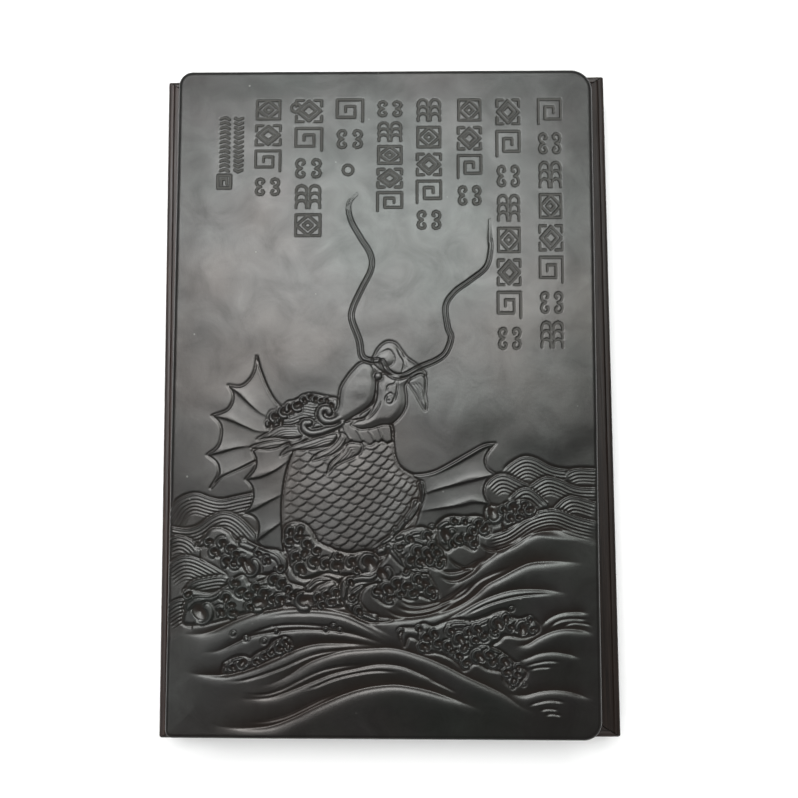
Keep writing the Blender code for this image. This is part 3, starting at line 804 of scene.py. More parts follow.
# Each bank: its outline, and its curls as (x, y, radius, direction).
BANKS = [
    (
        [(-68.9, -55.7), (-66.3, -52.4), (-63.8, -49.5), (-60.1, -49.1), (-56.8, -50.9),
         (-54.5, -53.8), (-49.7, -54.5), (-45.2, -56.3), (-40.8, -57), (-37.9, -57.7),
         (-34.9, -61.4), (-35.9, -65.3), (-40.7, -66.4), (-48.8, -65.8), (-51, -62.9),
         (-54.7, -62.5), (-59.9, -60), (-62.9, -58.6), (-64.8, -55.7), (-67.7, -56.4)],
        [(-64.4, -54.2, 1.3, 200), (-62.2, -57.8, 1.6, 220), (-57.3, -61.4, 1.8, 200),
         (-59.2, -54.6, 1.5, 150), (-56.3, -56.7, 1.5, 240), (-54.1, -58.8, 1.4, 190),
         (-54.7, -62.2, 1.5, 230), (-51.8, -61.1, 1.6, 200), (-48.8, -63.9, 2.5, 20)],
    ),
    (
        [(-36.5, -49.7), (-33.6, -47.2), (-29.1, -47.5), (-26.2, -50.4), (-23.9, -54.1),
         (-19.5, -56.2), (-15.8, -57.7), (-11.4, -58.4), (-7.7, -57.7), (-3.3, -58.4),
         (-1.1, -61.3), (-2.6, -64.9), (-7, -67), (-15.8, -66.4), (-20.9, -65.7),
         (-27.5, -67.8), (-31.1, -67.1), (-34.1, -63.5), (-34.9, -59.9), (-36.4, -55.6)],
        [(-34.6, -54.1, 1.5, 200), (-31.3, -52.6, 1.5, 250), (-34, -50.3, 1.3, 150),
         (-30.4, -49.8, 1.3, 100), (-28, -54.8, 1.5, 200), (-32, -59.5, 1.6, 220),
         (-29, -58.9, 1.6, 260), (-30.4, -63.7, 1.9, 200), (-25.3, -61.3, 1.8, 230),
         (-24.6, -57.4, 1.3, 200), (-20.9, -62, 1.5, 200), (-17.2, -62.8, 1.9, 240),
         (-16.4, -59.4, 1.2, 200), (-11.4, -61.3, 1.6, 200), (-9.4, -64.4, 1.2, 240),
         (-5.4, -61.5, 2.6, 150)],
    ),
    (
        [(-72.9, -71.6), (-63.4, -73), (-57.5, -70.1), (-53.9, -67.2), (-51, -66.5),
         (-48.7, -69.4), (-43.6, -67.9), (-40, -65.4), (-36.3, -66.1), (-34.1, -69),
         (-28.9, -70.7), (-30.3, -72.9), (-34, -75.1), (-37.6, -78), (-44.9, -79.4),
         (-50, -80.2), (-57.3, -82.4), (-66.8, -84.5), (-73.4, -83.9), (-72.8, -77.4)],
        [(-54.6, -69.4, 1.5, 200), (-52.3, -72.3, 1.5, 260), (-57.4, -74.4, 1.5, 150),
         (-55.9, -77.3, 1.3, 200), (-59.6, -79.5, 1.5, 200), (-55.1, -80.2, 1.5, 250),
         (-66.4, -80.6, 3.0, 330), (-46.5, -70.8, 1.5, 200), (-43.5, -73, 1.8, 200),
         (-39.9, -67.9, 1.6, 160), (-37, -69.3, 1.6, 200), (-40.6, -75.1, 1.5, 230),
         (-45.9, -76.4, 2.5, 200), (-37.6, -75.1, 1.5, 200), (-34.8, -71.5, 1.3, 150),
         (-49.6, -73.6, 1.3, 200), (-48.8, -77.8, 1.2, 210), (-33.4, -73.6, 1.1, 240)],
    ),
    (
        [(-36.2, -77.2), (-34.7, -74.4), (-30.3, -72.5), (-26, -72.5), (-23, -70), (-17.9, -68.5),
         (-15.7, -74.3), (-15.7, -77.9)],
        [(-28.8, -75.6, 2.7, 200), (-23.7, -74.4, 1.4, 200), (-20.8, -73.4, 1.4, 230),
         (-19, -76, 1.3, 200), (-17.2, -72.4, 1.3, 180), (-22.3, -77, 1.2, 220)],
    ),
    (
        [(37.6, -42.4), (38.9, -41.1), (43.3, -41.1), (45.2, -39.9), (48.4, -38.9), (51.6, -38.6),
         (54.8, -39.8), (56.6, -42.4), (55.3, -44.9), (51.5, -46.2), (47.7, -48.1), (45.1, -49.3),
         (43.3, -47.4), (40.1, -46.8), (37.6, -45.6)],
        [(40.6, -44, 2.6, 300), (47.8, -41.4, 1.9, 210), (50.9, -42.8, 1.4, 250),
         (53.6, -42.4, 1.5, 210), (52, -40.3, 1.1, 120), (46.8, -45, 1.4, 200),
         (44.2, -42.2, 1.2, 160), (49.6, -45, 1.1, 250)],
    ),
    (
        [(19.8, -48.1), (22.3, -45.6), (25.5, -44.7), (29.9, -45), (33.8, -44.6), (36.9, -45.3),
         (38.8, -47.5), (39.4, -50), (38.2, -51.9), (35, -51.2), (34.3, -54.4), (33.1, -56.9),
         (28.6, -55), (25.5, -56.3), (23.6, -57.6), (21, -55.7), (19.8, -52.5)],
        [(23.6, -52.2, 2.2, 320), (25.7, -54.6, 1.3, 200), (28, -53.1, 1.5, 250),
         (31.2, -52.7, 1.6, 220), (33.2, -54.8, 1.3, 250), (35, -47.4, 1.4, 160),
         (36.9, -49.6, 1.4, 220), (33, -50, 1.1, 200), (38, -47.8, 1.0, 150)],
    ),
    (
        [(-1.2, -54.5), (5.1, -51.3), (8.3, -50.1), (11.5, -49.1), (14.7, -48.8), (18.5, -50.7),
         (17.2, -53.2), (19.8, -55.1), (22.3, -57.6), (22.9, -60.7), (22.3, -63.2), (19.7, -63.8),
         (15.9, -62.6), (12.1, -63.9), (9.6, -63.2), (7.7, -60.7), (5.2, -59.5)],
        [(10.4, -60.9, 1.8, 200), (13.6, -61.4, 1.6, 240), (16.2, -58.2, 1.6, 200),
         (17.2, -61.2, 1.3, 260), (19.6, -57.8, 1.4, 210), (21.4, -60.3, 1.3, 250),
         (20.6, -62.3, 1.1, 260), (12.6, -57.2, 1.4, 180), (18.1, -55.4, 1.1, 150)],
    ),
    (
        [(-15.7, -69), (-13.2, -66.8), (-8.1, -65.5), (-3.7, -64.5), (-0.5, -61.4), (1.4, -58.9),
         (3.2, -55.7), (7.7, -62), (12.1, -65.7), (15.9, -65.7), (19.1, -70.1), (20.3, -73.8),
         (17.2, -75), (13.4, -73.8), (9.6, -75.1), (5.2, -73.9), (2.7, -76.8), (0.1, -76.4),
         (-3, -73.5), (-1.8, -69.5), (-5.6, -70.2), (-8.1, -72.7), (-8.4, -75.8), (-6.2, -78.9),
         (-3, -81.4), (3.3, -82.3), (-3, -83.3), (-8, -82), (-12.3, -79.3), (-15, -76)],
        [(0.3, -66.3, 2.2, 330), (5.2, -69.1, 1.7, 200), (8.5, -70.3, 1.6, 250),
         (11, -72.8, 1.5, 220), (1.6, -71, 1.8, 210), (-2.2, -72, 1.5, 240),
         (2.2, -74.9, 1.3, 230), (15.1, -69, 1.9, 200), (17.4, -71.6, 1.5, 250),
         (18.4, -73.8, 1.1, 260), (12.8, -67.4, 1.4, 170), (6.4, -72.9, 1.1, 230)],
    ),
    (
        [(5.8, -86.3), (7.7, -85), (12.1, -85), (14.7, -83.4), (18.4, -84.4), (22.2, -83.1),
         (27.3, -81.8), (31.7, -82.4), (36.7, -81.2), (41.1, -79.3), (44.9, -78.7), (46.8, -81.1),
         (49.9, -81.7), (53, -81.1), (56.2, -83), (56.8, -86), (53.6, -87.9), (50.5, -88.5),
         (44.8, -87.9), (42.3, -89.8), (39.8, -91.7), (42.9, -93.5), (46, -95.9), (50.4, -99),
         (52.2, -100.8), (50.9, -103.3), (47.2, -105.7), (44.1, -103.9), (42.8, -100.9),
         (37.8, -99.7), (33.5, -97.8), (29.7, -100.3), (27.8, -98.5), (24.7, -96),
         (19.7, -94.2), (15.9, -94.2), (13.4, -93), (12.8, -89.9), (9.6, -88.7), (7.7, -91.8)],
        [(15.9, -88.7, 1.7, 200), (14.7, -91.8, 1.6, 230), (6.7, -86.5, 0.9, 150),
         (13.4, -85.4, 1.0, 100), (18.6, -87, 1.3, 200), (20, -90.6, 1.4, 240),
         (24.7, -86.2, 1.3, 170), (23.6, -91.4, 1.4, 210), (27.9, -88.8, 1.7, 200),
         (29.5, -92.5, 1.5, 250), (31.2, -86.4, 1.2, 180), (34.4, -85.3, 1.5, 200),
         (36.6, -88, 1.3, 230), (33.4, -89.4, 1.2, 240), (41.7, -83.2, 1.9, 200),
         (44.9, -81.4, 1.3, 100), (46.4, -84.6, 1.2, 230), (51.1, -84.8, 2.0, 150),
         (53.7, -82.1, 0.9, 100), (54.3, -85.6, 1.2, 260), (34.7, -95, 1.9, 210),
         (38.5, -94.5, 1.4, 180), (30.1, -97.6, 1.4, 260), (27.4, -95, 1.3, 220),
         (39.9, -97.4, 1.4, 240), (44.1, -96.8, 1.6, 200), (44.9, -100.8, 1.4, 250),
         (47.4, -103.9, 1.3, 260), (49.1, -98.9, 1.0, 150), (48.6, -101.4, 1.1, 220),
         (40.6, -86.4, 1.1, 220), (25, -93.6, 1.0, 250)],
    ),
    (
        [(-58.6, -101.4), (-57.7, -98.9), (-54.6, -96.4), (-50.8, -95.5), (-48.3, -96.4),
         (-45.8, -94.5), (-42.6, -92.9), (-40.1, -90.1), (-37, -88.9), (-34.1, -89.2),
         (-33.2, -91.4), (-33.8, -93.5), (-37.5, -95.1), (-40.7, -96.3), (-45.7, -98.8),
         (-52.6, -101), (-57, -102)],
        [(-51.4, -98.4, 1.6, 250), (-46.3, -97.5, 1.1, 240), (-43.2, -95.5, 1.2, 230),
         (-40.7, -94.2, 1.2, 250), (-37.6, -92.8, 1.6, 250), (-35.7, -90.5, 1.3, 200),
         (-34.6, -92.4, 1.1, 260), (-55, -99.5, 1.2, 220)],
    ),
]
# Drops of spray: x, y, radius.
DROPS = [
    (-54.7, -87.4, 0.9), (-50, -89.2, 1.0), (-38.9, -86.7, 0.9), (-20.9, -85.8, 1.0),
    (-18.1, -84.6, 0.9), (-15.8, -86, 0.9), (-43.3, -90, 1.0), (17.9, -48.8, 1.0),
    (46.9, -78.1, 0.8), (47, -105.9, 0.8), (51, -105, 0.7), (8.6, -46.6, 0.9), (4.4, -49.8, 0.9),
]
# Raised water ribbons that tie the curls together: points, radius, height.
RIBBONS = [
    ([(-1.2, -57.6), (2.6, -56.7), (5.2, -59.5), (7.7, -62), (12, -64.6), (16, -65)], 1.5, 0.45),
    ([(2, -55.7), (5.8, -55.6), (8.3, -54.4), (11.5, -53.6), (14.5, -54.6)], 1.1, 0.35),
    ([(5.2, -52.8), (8.3, -52), (10.9, -51), (14, -50.6), (17, -51.4)], 0.9, 0.3),
    ([(20.6, -48.6), (23.4, -47.2), (27.4, -47.2), (31.4, -46.8), (34, -46)], 0.9, 0.3),
    ([(-15, -74), (-13.6, -69.6), (-9.6, -67.6), (-4.6, -67.4), (-2.4, -66)], 1.6, 0.45),
    ([(-3, -81.8), (-8.6, -80.6), (-11.6, -77.4), (-11, -73.2), (-7.6, -70.6)], 1.3, 0.4),
    ([(-52, -54.6), (-48, -56.6), (-43.6, -58.4), (-39.4, -60), (-37.6, -63)], 1.5, 0.4),
    ([(-72, -78), (-68.6, -75.6), (-63.4, -75.2), (-59, -73)], 1.4, 0.4),
    ([(12.1, -40), (11.4, -42.6), (8.6, -46.2), (5.4, -50), (1.3, -53.6), (-3.1, -56.4)], 1.2, 0.45),
    ([(13.8, -33), (14.4, -36.4), (13.8, -39.6), (12.4, -42.4), (10, -46)], 1.0, 0.35),
    ([(24, -84.6), (28, -84), (32, -84.2), (36.6, -83), (40, -81.2), (43.6, -80)], 0.9, 0.3),
    ([(30, -90.6), (33.4, -92.2), (37, -92), (40, -92.8), (43.4, -94.4), (47, -97.4)], 0.9, 0.3),
    ([(-45, -96.6), (-41.6, -93.4), (-38.6, -90.4), (-35.6, -89.6)], 0.8, 0.25),
    ([(-57.4, -98.6), (-54, -96.8), (-50.4, -96.4), (-48, -97.4)], 0.8, 0.25),
]


def more_curls(shape, curls, rng):
    """Small curls for the empty stretches of a foam bank."""
    placed = [(x, y, radius) for x, y, radius, _ in curls]
    extra = []
    low, high = shape.min(axis=0), shape.max(axis=0)
    for _ in range(160):
        x, y = rng.uniform(low, high)
        radius = rng.uniform(0.95, 1.35)
        turn = rng.uniform(170.0, 270.0)
        edge = np.hypot(shape[:, 0] - x, shape[:, 1] - y).min()
        crossings = 0
        for a, b in zip(shape, np.roll(shape, -1, axis=0)):
            if (a[1] > y) != (b[1] > y) and x < a[0] + (y - a[1]) * (b[0] - a[0]) / (b[1] - a[1]):
                crossings += 1
        if crossings % 2 == 0 or edge < 1.5:
            continue
        if all(math.hypot(x - px, y - py) > 1.75 * (radius + r) for px, py, r in placed):
            placed.append((x, y, radius))
            extra.append((x, y, radius, turn))
    return extra


def carve_foam(face):
    """Foam banks as low plates, then water ribbons, then hooked curls and drops of spray."""
    rng = np.random.RandomState(7)
    for points, _ in BANKS:
        shape = ring(points)
        face.plate(shape, -1.0, -0.34, 1.6, groove=0.32, groove_width=0.6)
    for points, radius, height in RIBBONS:
        face.rope(points, radius, height, groove=0.25, end=0.5)
    for points, curls in BANKS:
        for index, (x, y, radius, turn) in enumerate(curls + more_curls(ring(points), curls, rng)):
            back = turn - 70.0 if index % 3 else turn - 20.0
            face.scroll(x, y, radius * 1.1, back, -0.55, -0.02, min(1.1, 0.25 + 0.5 * radius))
    for x, y, radius in DROPS:
        window = face.window(np.array([(x, y)]), radius * 2)
        gx, gy = face.grid(window)
        distance = np.hypot(gx - x, gy - y)
        ball = 0.5 * np.sqrt(np.clip(1.0 - (distance / radius) ** 2, 0.0, 1.0))
        face.height[window] += ball - 0.2 * np.exp(-(((distance - 1.15 * radius) / 0.3) ** 2))


# Ornament ------------------------------------------------------------------------------------

# Columns of plain fretwork stand where the original has writing: left, right, top, bottom, blocks.
COLUMNS = [
    (58.2, 67.6, 113.6, 15.6, 8),
    (42.4, 51.8, 113.6, 14.2, 8),
    (27.6, 37.2, 113.8, 69.6, 4),
    (12.0, 22.0, 113.8, 60.4, 5),
    (-3.0, 7.2, 113.8, 68.2, 5),
    (-18.6, -7.8, 113.8, 91.8, 2),
    (-34.4, -23.4, 113.8, 58.0, 5),
    (-49.6, -39.2, 113.8, 73.8, 4),
]
STROKE_WIDTH, STROKE_DEPTH = 0.34, 0.26
# Two small rings stand between the blocks: x, y, radius.
RINGS = ((-13.8, 85.8, 1.9), (-33.9, 110.2, 1.7))
TICK_ROWS, TICK_PITCH = 12, 1.85


def key_fret():
    """A squared spiral, as lines in a unit cell."""
    return [[
        (0.05, 0.05), (0.05, 0.95), (0.95, 0.95), (0.95, 0.22), (0.32, 0.22), (0.32, 0.68),
        (0.66, 0.68), (0.66, 0.46),
    ]]


def diamond(reach):
    """A diamond about the middle of the unit cell."""
    low, high = 0.5 - reach, 0.5 + reach
    return [(low, 0.5), (0.5, high), (high, 0.5), (0.5, low), (low, 0.5)]


def framed_diamond():
    """Two diamonds in a square frame."""
    frame = [(0.08, 0.08), (0.08, 0.92), (0.92, 0.92), (0.92, 0.08), (0.08, 0.08)]
    return [frame, diamond(0.40), diamond(0.16)]


def four_scrolls():
    """Two pairs of small spirals, one pair the mirror image of the other."""
    lines = []
    for x, hand in ((0.26, -1), (0.74, 1)):
        lines.append([tuple(p) for p in spiral((x, 0.70), 0.22, 0.07, -90, hand * 330, 9)])
        lines.append([tuple(p) for p in spiral((x, 0.26), 0.22, 0.07, 90, -hand * 330, 9)])
    return lines


def nested_diamonds():
    """Two diamonds between four corner brackets."""
    corners = []
    for x, y in ((0.06, 0.06), (0.94, 0.06), (0.06, 0.94), (0.94, 0.94)):
        inward_x, inward_y = 0.5 + (x - 0.5) * 0.45, 0.5 + (y - 0.5) * 0.45
        corners.append([(inward_x, y), (x, y), (x, inward_y)])
    return [diamond(0.42), diamond(0.24), *corners]


def arches():
    """Three rows of two round arches."""
    rows = []
    for y in (0.08, 0.38, 0.68):
        for x in (0.27, 0.73):
            top = [tuple(p) for p in arc((x, y + 0.08), 0.18, 180, 0, 7)]
            rows.append([(x - 0.18, y - 0.04), *top, (x + 0.18, y - 0.04)])
    return rows


BLOCKS = (key_fret, framed_diamond, four_scrolls, nested_diamonds, arches)


def carve_ornament(face):
    """Columns of fretwork blocks, then two rows of ticks with a square under them."""
    for number, (left, right, top, bottom, count) in enumerate(COLUMNS):
        pitch = (top - bottom) / count
        for index in range(count):
            draw = BLOCKS[(index * 2 + number * 3) % len(BLOCKS)]
            high = top - index * pitch
            low = high - pitch * 0.86
            mirrored = (index + number) % 2
            for stroke in draw():
                points = []
                for u, v in stroke:
                    u = 1.0 - u if mirrored else u
                    points.append((left + u * (right - left), low + v * (high - low)))
                stroke_cut(face, points)
    for x, y, radius in RINGS:
        stroke_cut(face, [tuple(p) for p in arc((x, y), radius, 0, 360, 20)])
    for index in range(TICK_ROWS):
        y = 106 - index * TICK_PITCH
        stroke_cut(face, [(-62.6, y), (-60.8, y + 0.6), (-59.4, y - 0.3)], 0.36, 0.25)
        stroke_cut(face, [(-57.2, y + 0.4), (-55.8, y - 0.5), (-54.2, y + 0.3)], 0.36, 0.25)
    square = [(-63.4, 79), (-63.4, 83.8), (-58.6, 83.8), (-58.6, 79), (-63.4, 79)]
    stroke_cut(face, square, 0.45, 0.35)
    stroke_cut(face, [(-62, 80.4), (-62, 82.4), (-60, 82.4), (-60, 80.4)], 0.4, 0.3)


def stroke_cut(face, points, width=STROKE_WIDTH, depth=STROKE_DEPTH):
    """A chiselled stroke with straight runs and flat floor."""
    line = np.array(points, float)
    window, distance, _ = face.near(line, width * 1.6)
    profile = ease((width * 1.35 - np.abs(distance)) / (width * 0.75))
    face.height[window] = np.minimum(face.height[window], -depth * profile)
    face.fresh[window] = np.maximum(face.fresh[window], profile)


def carve_face():
    face = Face(STONE_WIDTH, STONE_LENGTH, FACE_PITCH)
    carve_ground(face)
    carve_mounds(face)
    carve_swells(face)
    carve_web(face, BACK_FIN, BACK_RIBS, -0.85, -0.42)
    carve_web(face, LOW_FIN, LOW_RIBS, -0.85, -0.38)
    carve_web(face, RIGHT_FIN, RIGHT_RIBS, -0.85, -0.4)
    carve_body(face)
    carve_head(face)
    carve_foam(face)
    carve_whiskers(face)
    carve_ornament(face)
    face.height = np.minimum(face.height, 0.0)
    return face


# Mesh making ----------------------------------------------------------------------------------


def object_of(name, points, quads, look, extra_faces=()):
    """An object from metre points, an array of quads, and any other faces as lists."""
    mesh = bpy.data.meshes.new(name)
    loops = [np.asarray(quads, np.int32).reshape(-1)]
    sizes = [np.full(len(quads), 4, np.int32)]
    for face in extra_faces:
        loops.append(np.asarray(face, np.int32))
        sizes.append(np.array([len(face)], np.int32))
    loops, sizes = np.concatenate(loops), np.concatenate(sizes)
    starts = np.concatenate([[0], np.cumsum(sizes)[:-1]]).astype(np.int32)
    mesh.vertices.add(len(points))
    mesh.vertices.foreach_set("co", np.asarray(points, np.float32).reshape(-1))
    mesh.loops.add(len(loops))
    mesh.loops.foreach_set("vertex_index", loops)
    mesh.polygons.add(len(sizes))
    mesh.polygons.foreach_set("loop_start", starts)
    mesh.polygons.foreach_set("loop_total", sizes)
    mesh.update(calc_edges=True)
    mesh.validate()
    mesh.shade_smooth()
    made = bpy.data.objects.new(name, mesh)
    bpy.context.scene.collection.objects.link(made)
    made.data.materials.append(look)
    return made


def corner_radius(x, y, radii):
    """The radius that holds at each point; radii go near left, near right, far right, far left."""
    near = np.where(x < 0.0, radii[0], radii[1])
    far = np.where(x < 0.0, radii[3], radii[2])
    return np.where(y < 0.0, near, far)


def round_block(x, y, width, length, radii):
    """Moves the points of a rectangle's corner squares into quarter discs."""
    r = corner_radius(x, y, radii)
    cx, cy = width / 2 - r, length / 2 - r
    u = np.clip((np.abs(x) - cx) / r, 0.0, 1.0)
    v = np.clip((np.abs(y) - cy) / r, 0.0, 1.0)
    in_corner = (np.abs(x) > cx) & (np.abs(y) > cy)
    px = np.where(in_corner, np.sign(x) * (cx + r * u * np.sqrt(1.0 - v * v / 2)), x)
    py = np.where(in_corner, np.sign(y) * (cy + r * v * np.sqrt(1.0 - u * u / 2)), y)
    return px, py


def inside_block(x, y, width, length, radii):
    """Distance inside a rectangle with rounded corners."""
    r = corner_radius(x, y, radii)
    qx, qy = np.abs(x) - (width / 2 - r), np.abs(y) - (length / 2 - r)
    outer = np.hypot(np.maximum(qx, 0.0), np.maximum(qy, 0.0))
    return r - outer - np.minimum(np.maximum(qx, qy), 0.0)


def rim_indices(ny, nx):
    """The grid's outer points, anticlockwise from the near left corner."""
    index = np.arange(ny * nx).reshape(ny, nx)
    return np.concatenate([index[0, :-1], index[:-1, -1], index[-1, :0:-1], index[:0:-1, 0]])


def grid_quads(ny, nx):
    index = np.arange(ny * nx).reshape(ny, nx)
    return np.stack([index[:-1, :-1], index[:-1, 1:], index[1:, 1:], index[1:, :-1]], -1).reshape(-1, 4)


def band_quads(upper, lower):
    """Quads down a wall between two loops of equal length, facing outward."""
    return np.stack([upper, lower, np.roll(lower, -1), np.roll(upper, -1)], -1)


def walled(x, y, z, loops):
    """Points and quads of a grid with loops of points down its wall, and the lowest loop."""
    xs, ys, zs = [x.reshape(-1)], [y.reshape(-1)], [z.reshape(-1)]
    quads = [grid_quads(*x.shape)]
    last, count = rim_indices(*x.shape), x.size
    for loop_x, loop_y, height in loops:
        xs.append(loop_x)
        ys.append(loop_y)
        zs.append(np.full(len(loop_x), height))
        loop = np.arange(count, count + len(loop_x))
        quads.append(band_quads(last, loop))
        count += len(loop_x)
        last = loop
    points = np.stack([np.concatenate(xs), np.concatenate(ys), np.concatenate(zs)], -1)
    return points, np.concatenate(quads), last


def to_row_frame(x, y):
    """Turns and shifts stone-frame millimetres as the stone lies in the tray."""
    c, s = math.cos(STONE_TURN), math.sin(STONE_TURN)
    return x * c - y * s + STONE_X, x * s + y * c + STONE_Y


# The cover's side and its recess: distance in from the stone's outline, and height.
COVER_LEVELS = [
    (0.0, 36.4), (0.0, 33.6), (0.0, 31.0), (0.0, 29.2), (0.06, 28.75), (0.22, 28.45),
    (0.55, COVER_LOW), (RECESS_INSET - 0.4, COVER_LOW), (RECESS_INSET - 0.05, COVER_LOW + 0.35),
    (RECESS_INSET, COVER_ROOF - 0.9), (RECESS_INSET + 0.3, COVER_ROOF - 0.25),
    (RECESS_INSET + 1.0, COVER_ROOF),
]


def cover_loops(rim_x, rim_y):
    """The loop of points at each of the cover's levels."""
    for inset, height in COVER_LEVELS:
        radii = [max(radius - inset, 1.2) for radius in STONE_CORNERS]
        width, length = STONE_WIDTH - 2 * inset, STONE_LENGTH - 2 * inset
        x, y = rim_x * width / STONE_WIDTH, rim_y * length / STONE_LENGTH
        yield *round_block(x, y, width, length, radii), height


def stone_cover(look):
    """The carved cover: the height map on top, plain sides, and the recess's roof underneath."""
    face = carve_face()
    gx, gy = np.meshgrid(face.x, face.y)
    x, y = round_block(gx, gy, STONE_WIDTH, STONE_LENGTH, STONE_CORNERS)
    depth = np.clip(inside_block(x, y, STONE_WIDTH, STONE_LENGTH, STONE_CORNERS), 0.0, None)
    # The rim is worn round, and the face falls a little toward it over its last few millimetres.
    rim_drop = 1.05 * (1.0 - round_over(depth, 1.7)) + 0.16 * bump(depth / 13.0)
    hand_cut = 0.02 * np.sin(gx / 9.0 + 1.3) * np.sin(gy / 13.0) + 0.015 * np.sin(gx / 23.0 - gy / 17.0)
    top = np.minimum(face.height - rim_drop + hand_cut - 0.03, 0.0)
    rim = rim_indices(face.ny, face.nx)
    loops = cover_loops(gx.reshape(-1)[rim], gy.reshape(-1)[rim])
    points, quads, last = walled(x, y, STONE_TOP + top, loops)
    px, py = to_row_frame(points[:, 0], points[:, 1])
    points = np.stack([px, py, points[:, 2]], -1) * MM
    made = object_of("carved_cover", points, quads, look, extra_faces=[last[::-1]])
    low = np.clip(-face.height / TINT_DEPTH, 0.0, 1.0)
    for name, values in (("cut_fresh", face.fresh), ("cut_depth", low)):
        every = np.zeros(len(points), np.float32)
        every[: x.size] = values.reshape(-1)
        made.data.attributes.new(name, "FLOAT", "POINT").data.foreach_set("value", every)
    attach(made, "cover")
    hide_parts("stone_cover")


# A rail's outer side and top, with its scribed line: distance in from the outer face, and height.
RAIL_PROFILE = [
    (0.4, RAIL_LOW), (0.12, RAIL_LOW + 0.12), (0.0, RAIL_LOW + 0.4), (0.0, 8.0), (0.0, 11.0),
    (0.0, 13.2), (0.0, 14.8), (0.0, 17.0), (0.0, 18.7), (0.1, 19.2), (0.38, 19.62),
    (0.8, 19.9), (1.3, RAIL_TOP), (1.9, RAIL_TOP), (2.25, 19.97), (2.42, 19.72), (2.55, 19.62),
    (2.68, 19.72), (2.85, 19.97), (3.2, RAIL_TOP), (3.9, RAIL_TOP),
]


def rail_profile(width):
    """The whole section; its inner side has the groove for the floor panel."""
    inner = [
        (width - 0.45, RAIL_TOP), (width - 0.13, 19.87), (width, 19.55), (width, 15.0), (width, 11.1),
        (width - 2.5, 11.1), (width - 2.5, 8.3), (width, 8.3), (width, RAIL_LOW + 0.2),
        (width - 0.2, RAIL_LOW),
    ]
    middle = []
    if width > 6.0:
        middle = [(4.7, RAIL_TOP), (5.5, RAIL_TOP), (6.3, RAIL_TOP)]
    return RAIL_PROFILE + middle + inner


def grain_ripple(along, across, seed):
    """Slight long ripples left by planing, in millimetres."""
    rng = np.random.RandomState(seed)
    total = np.zeros(np.broadcast(along, across).shape)
    for _ in range(9):
        angle = rng.uniform(0.0, 2.0 * math.pi, 2)
        wave = rng.uniform(0.05, 0.35)
        total += np.sin(along * wave * 0.35 + angle[0]) * np.sin(across * wave * 9.0 + angle[1])
    return total / 9.0


def round_corners(across, along, side):
    """Pulls the rail's ends in to the round of the tray's upright corners."""
    cx, cy = TRAY_WIDTH / 2 - TRAY_CORNER, TRAY_LENGTH / 2 - TRAY_CORNER
    px, py = (across, np.abs(along)) if side else (np.abs(along), across)
    reach = np.hypot(np.maximum(px - cx, 0.0), np.maximum(py - cy, 0.0))
    beyond = (px > cx) & (py > cy) & (reach > TRAY_CORNER)
    pull = np.where(beyond, TRAY_CORNER / np.maximum(reach, 1e-9), 1.0)
    px = np.where(pull < 1.0, cx + (px - cx) * pull, px)
    py = np.where(pull < 1.0, cy + (py - cy) * pull, py)
    if side:
        return px, np.copysign(py, along)
    return py, np.copysign(px, along)


def make_rail(name, node, side, turn, look):
    """A mitred rail with a rounded outer edge and a scribed line along its top."""
    half_x, half_y = TRAY_WIDTH / 2, TRAY_LENGTH / 2
    width, outer, end = (SIDE_RAIL, half_x, half_y) if side else (END_RAIL, half_y, half_x)
    other = END_RAIL if side else SIDE_RAIL
    slope = other / width
    clearance = 0.15 * math.hypot(1.0, slope)
    profile = np.array(rail_profile(width))
    ends = end - profile[:, 0] * slope - clearance
    steps = np.concatenate([np.linspace(0.0, 1.0 - 2.2 / end, 90), 1.0 - np.linspace(1.9, 0.0, 8) / end])
    steps = np.concatenate([-steps[:0:-1], steps])
    along = steps[:, None] * ends[None, :]
    across = np.broadcast_to(outer - profile[:, 0], along.shape).copy()
    height = np.broadcast_to(profile[:, 1], along.shape).copy()
    ripple = grain_ripple(along, profile[None, :, 0] + profile[None, :, 1], 3 + int(turn) // 90)
    outside = profile[None, :, 0] < 0.05
    upper = profile[None, :, 1] > RAIL_TOP - 0.1
    across -= np.where(outside, 0.05 + 0.045 * ripple, 0.0)
    height -= np.where(upper, 0.05 + 0.05 * ripple, 0.0)
    across, along = round_corners(across, along, side)
    c, s = math.cos(math.radians(turn)), math.sin(math.radians(turn))
    x, y = across * c - along * s, across * s + along * c
    points = np.stack([x, y, height], -1).reshape(-1, 3) * MM
    index = np.arange(along.size).reshape(along.shape)
    made = object_of(name, points, band_loops(index), look, extra_faces=[index[0], index[-1][::-1]])
    made.data.set_sharp_from_angle(angle=math.radians(42.0))
    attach(made, "tray")
    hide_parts(node)
    return made


def band_loops(index):
    """Quads between neighbouring closed loops, one loop a row."""
    after = np.roll(index, -1, axis=1)
    return np.stack([index[:-1], after[:-1], after[1:], index[1:]], -1).reshape(-1, 4)


def slot_cutter(sx, sy, look):
    """A flat block where one mitre key goes into the tray's corner."""
    reach, half = 30.0, KEY_THICKNESS / 2 + KEY_GAP
    corner = Vector((sx * TRAY_WIDTH / 2, sy * TRAY_LENGTH / 2, 14.0))
    out = Vector((sx, sy, 0.0)).normalized()
    side = Vector((-out.y, out.x, 0.0))
    points = []
    for z in (-half, half):
        for a, b in ((-KEY_DEPTH, -reach), (reach, -reach), (reach, reach), (-KEY_DEPTH, reach)):
            points.append(list((corner + out * a + side * b + Vector((0, 0, z))) * MM))
    faces = [(3, 2, 1, 0), (4, 5, 6, 7), (0, 1, 5, 4), (1, 2, 6, 5), (2, 3, 7, 6), (3, 0, 4, 7)]
    return object_of("slot_cutter", np.array(points), np.array(faces), look)


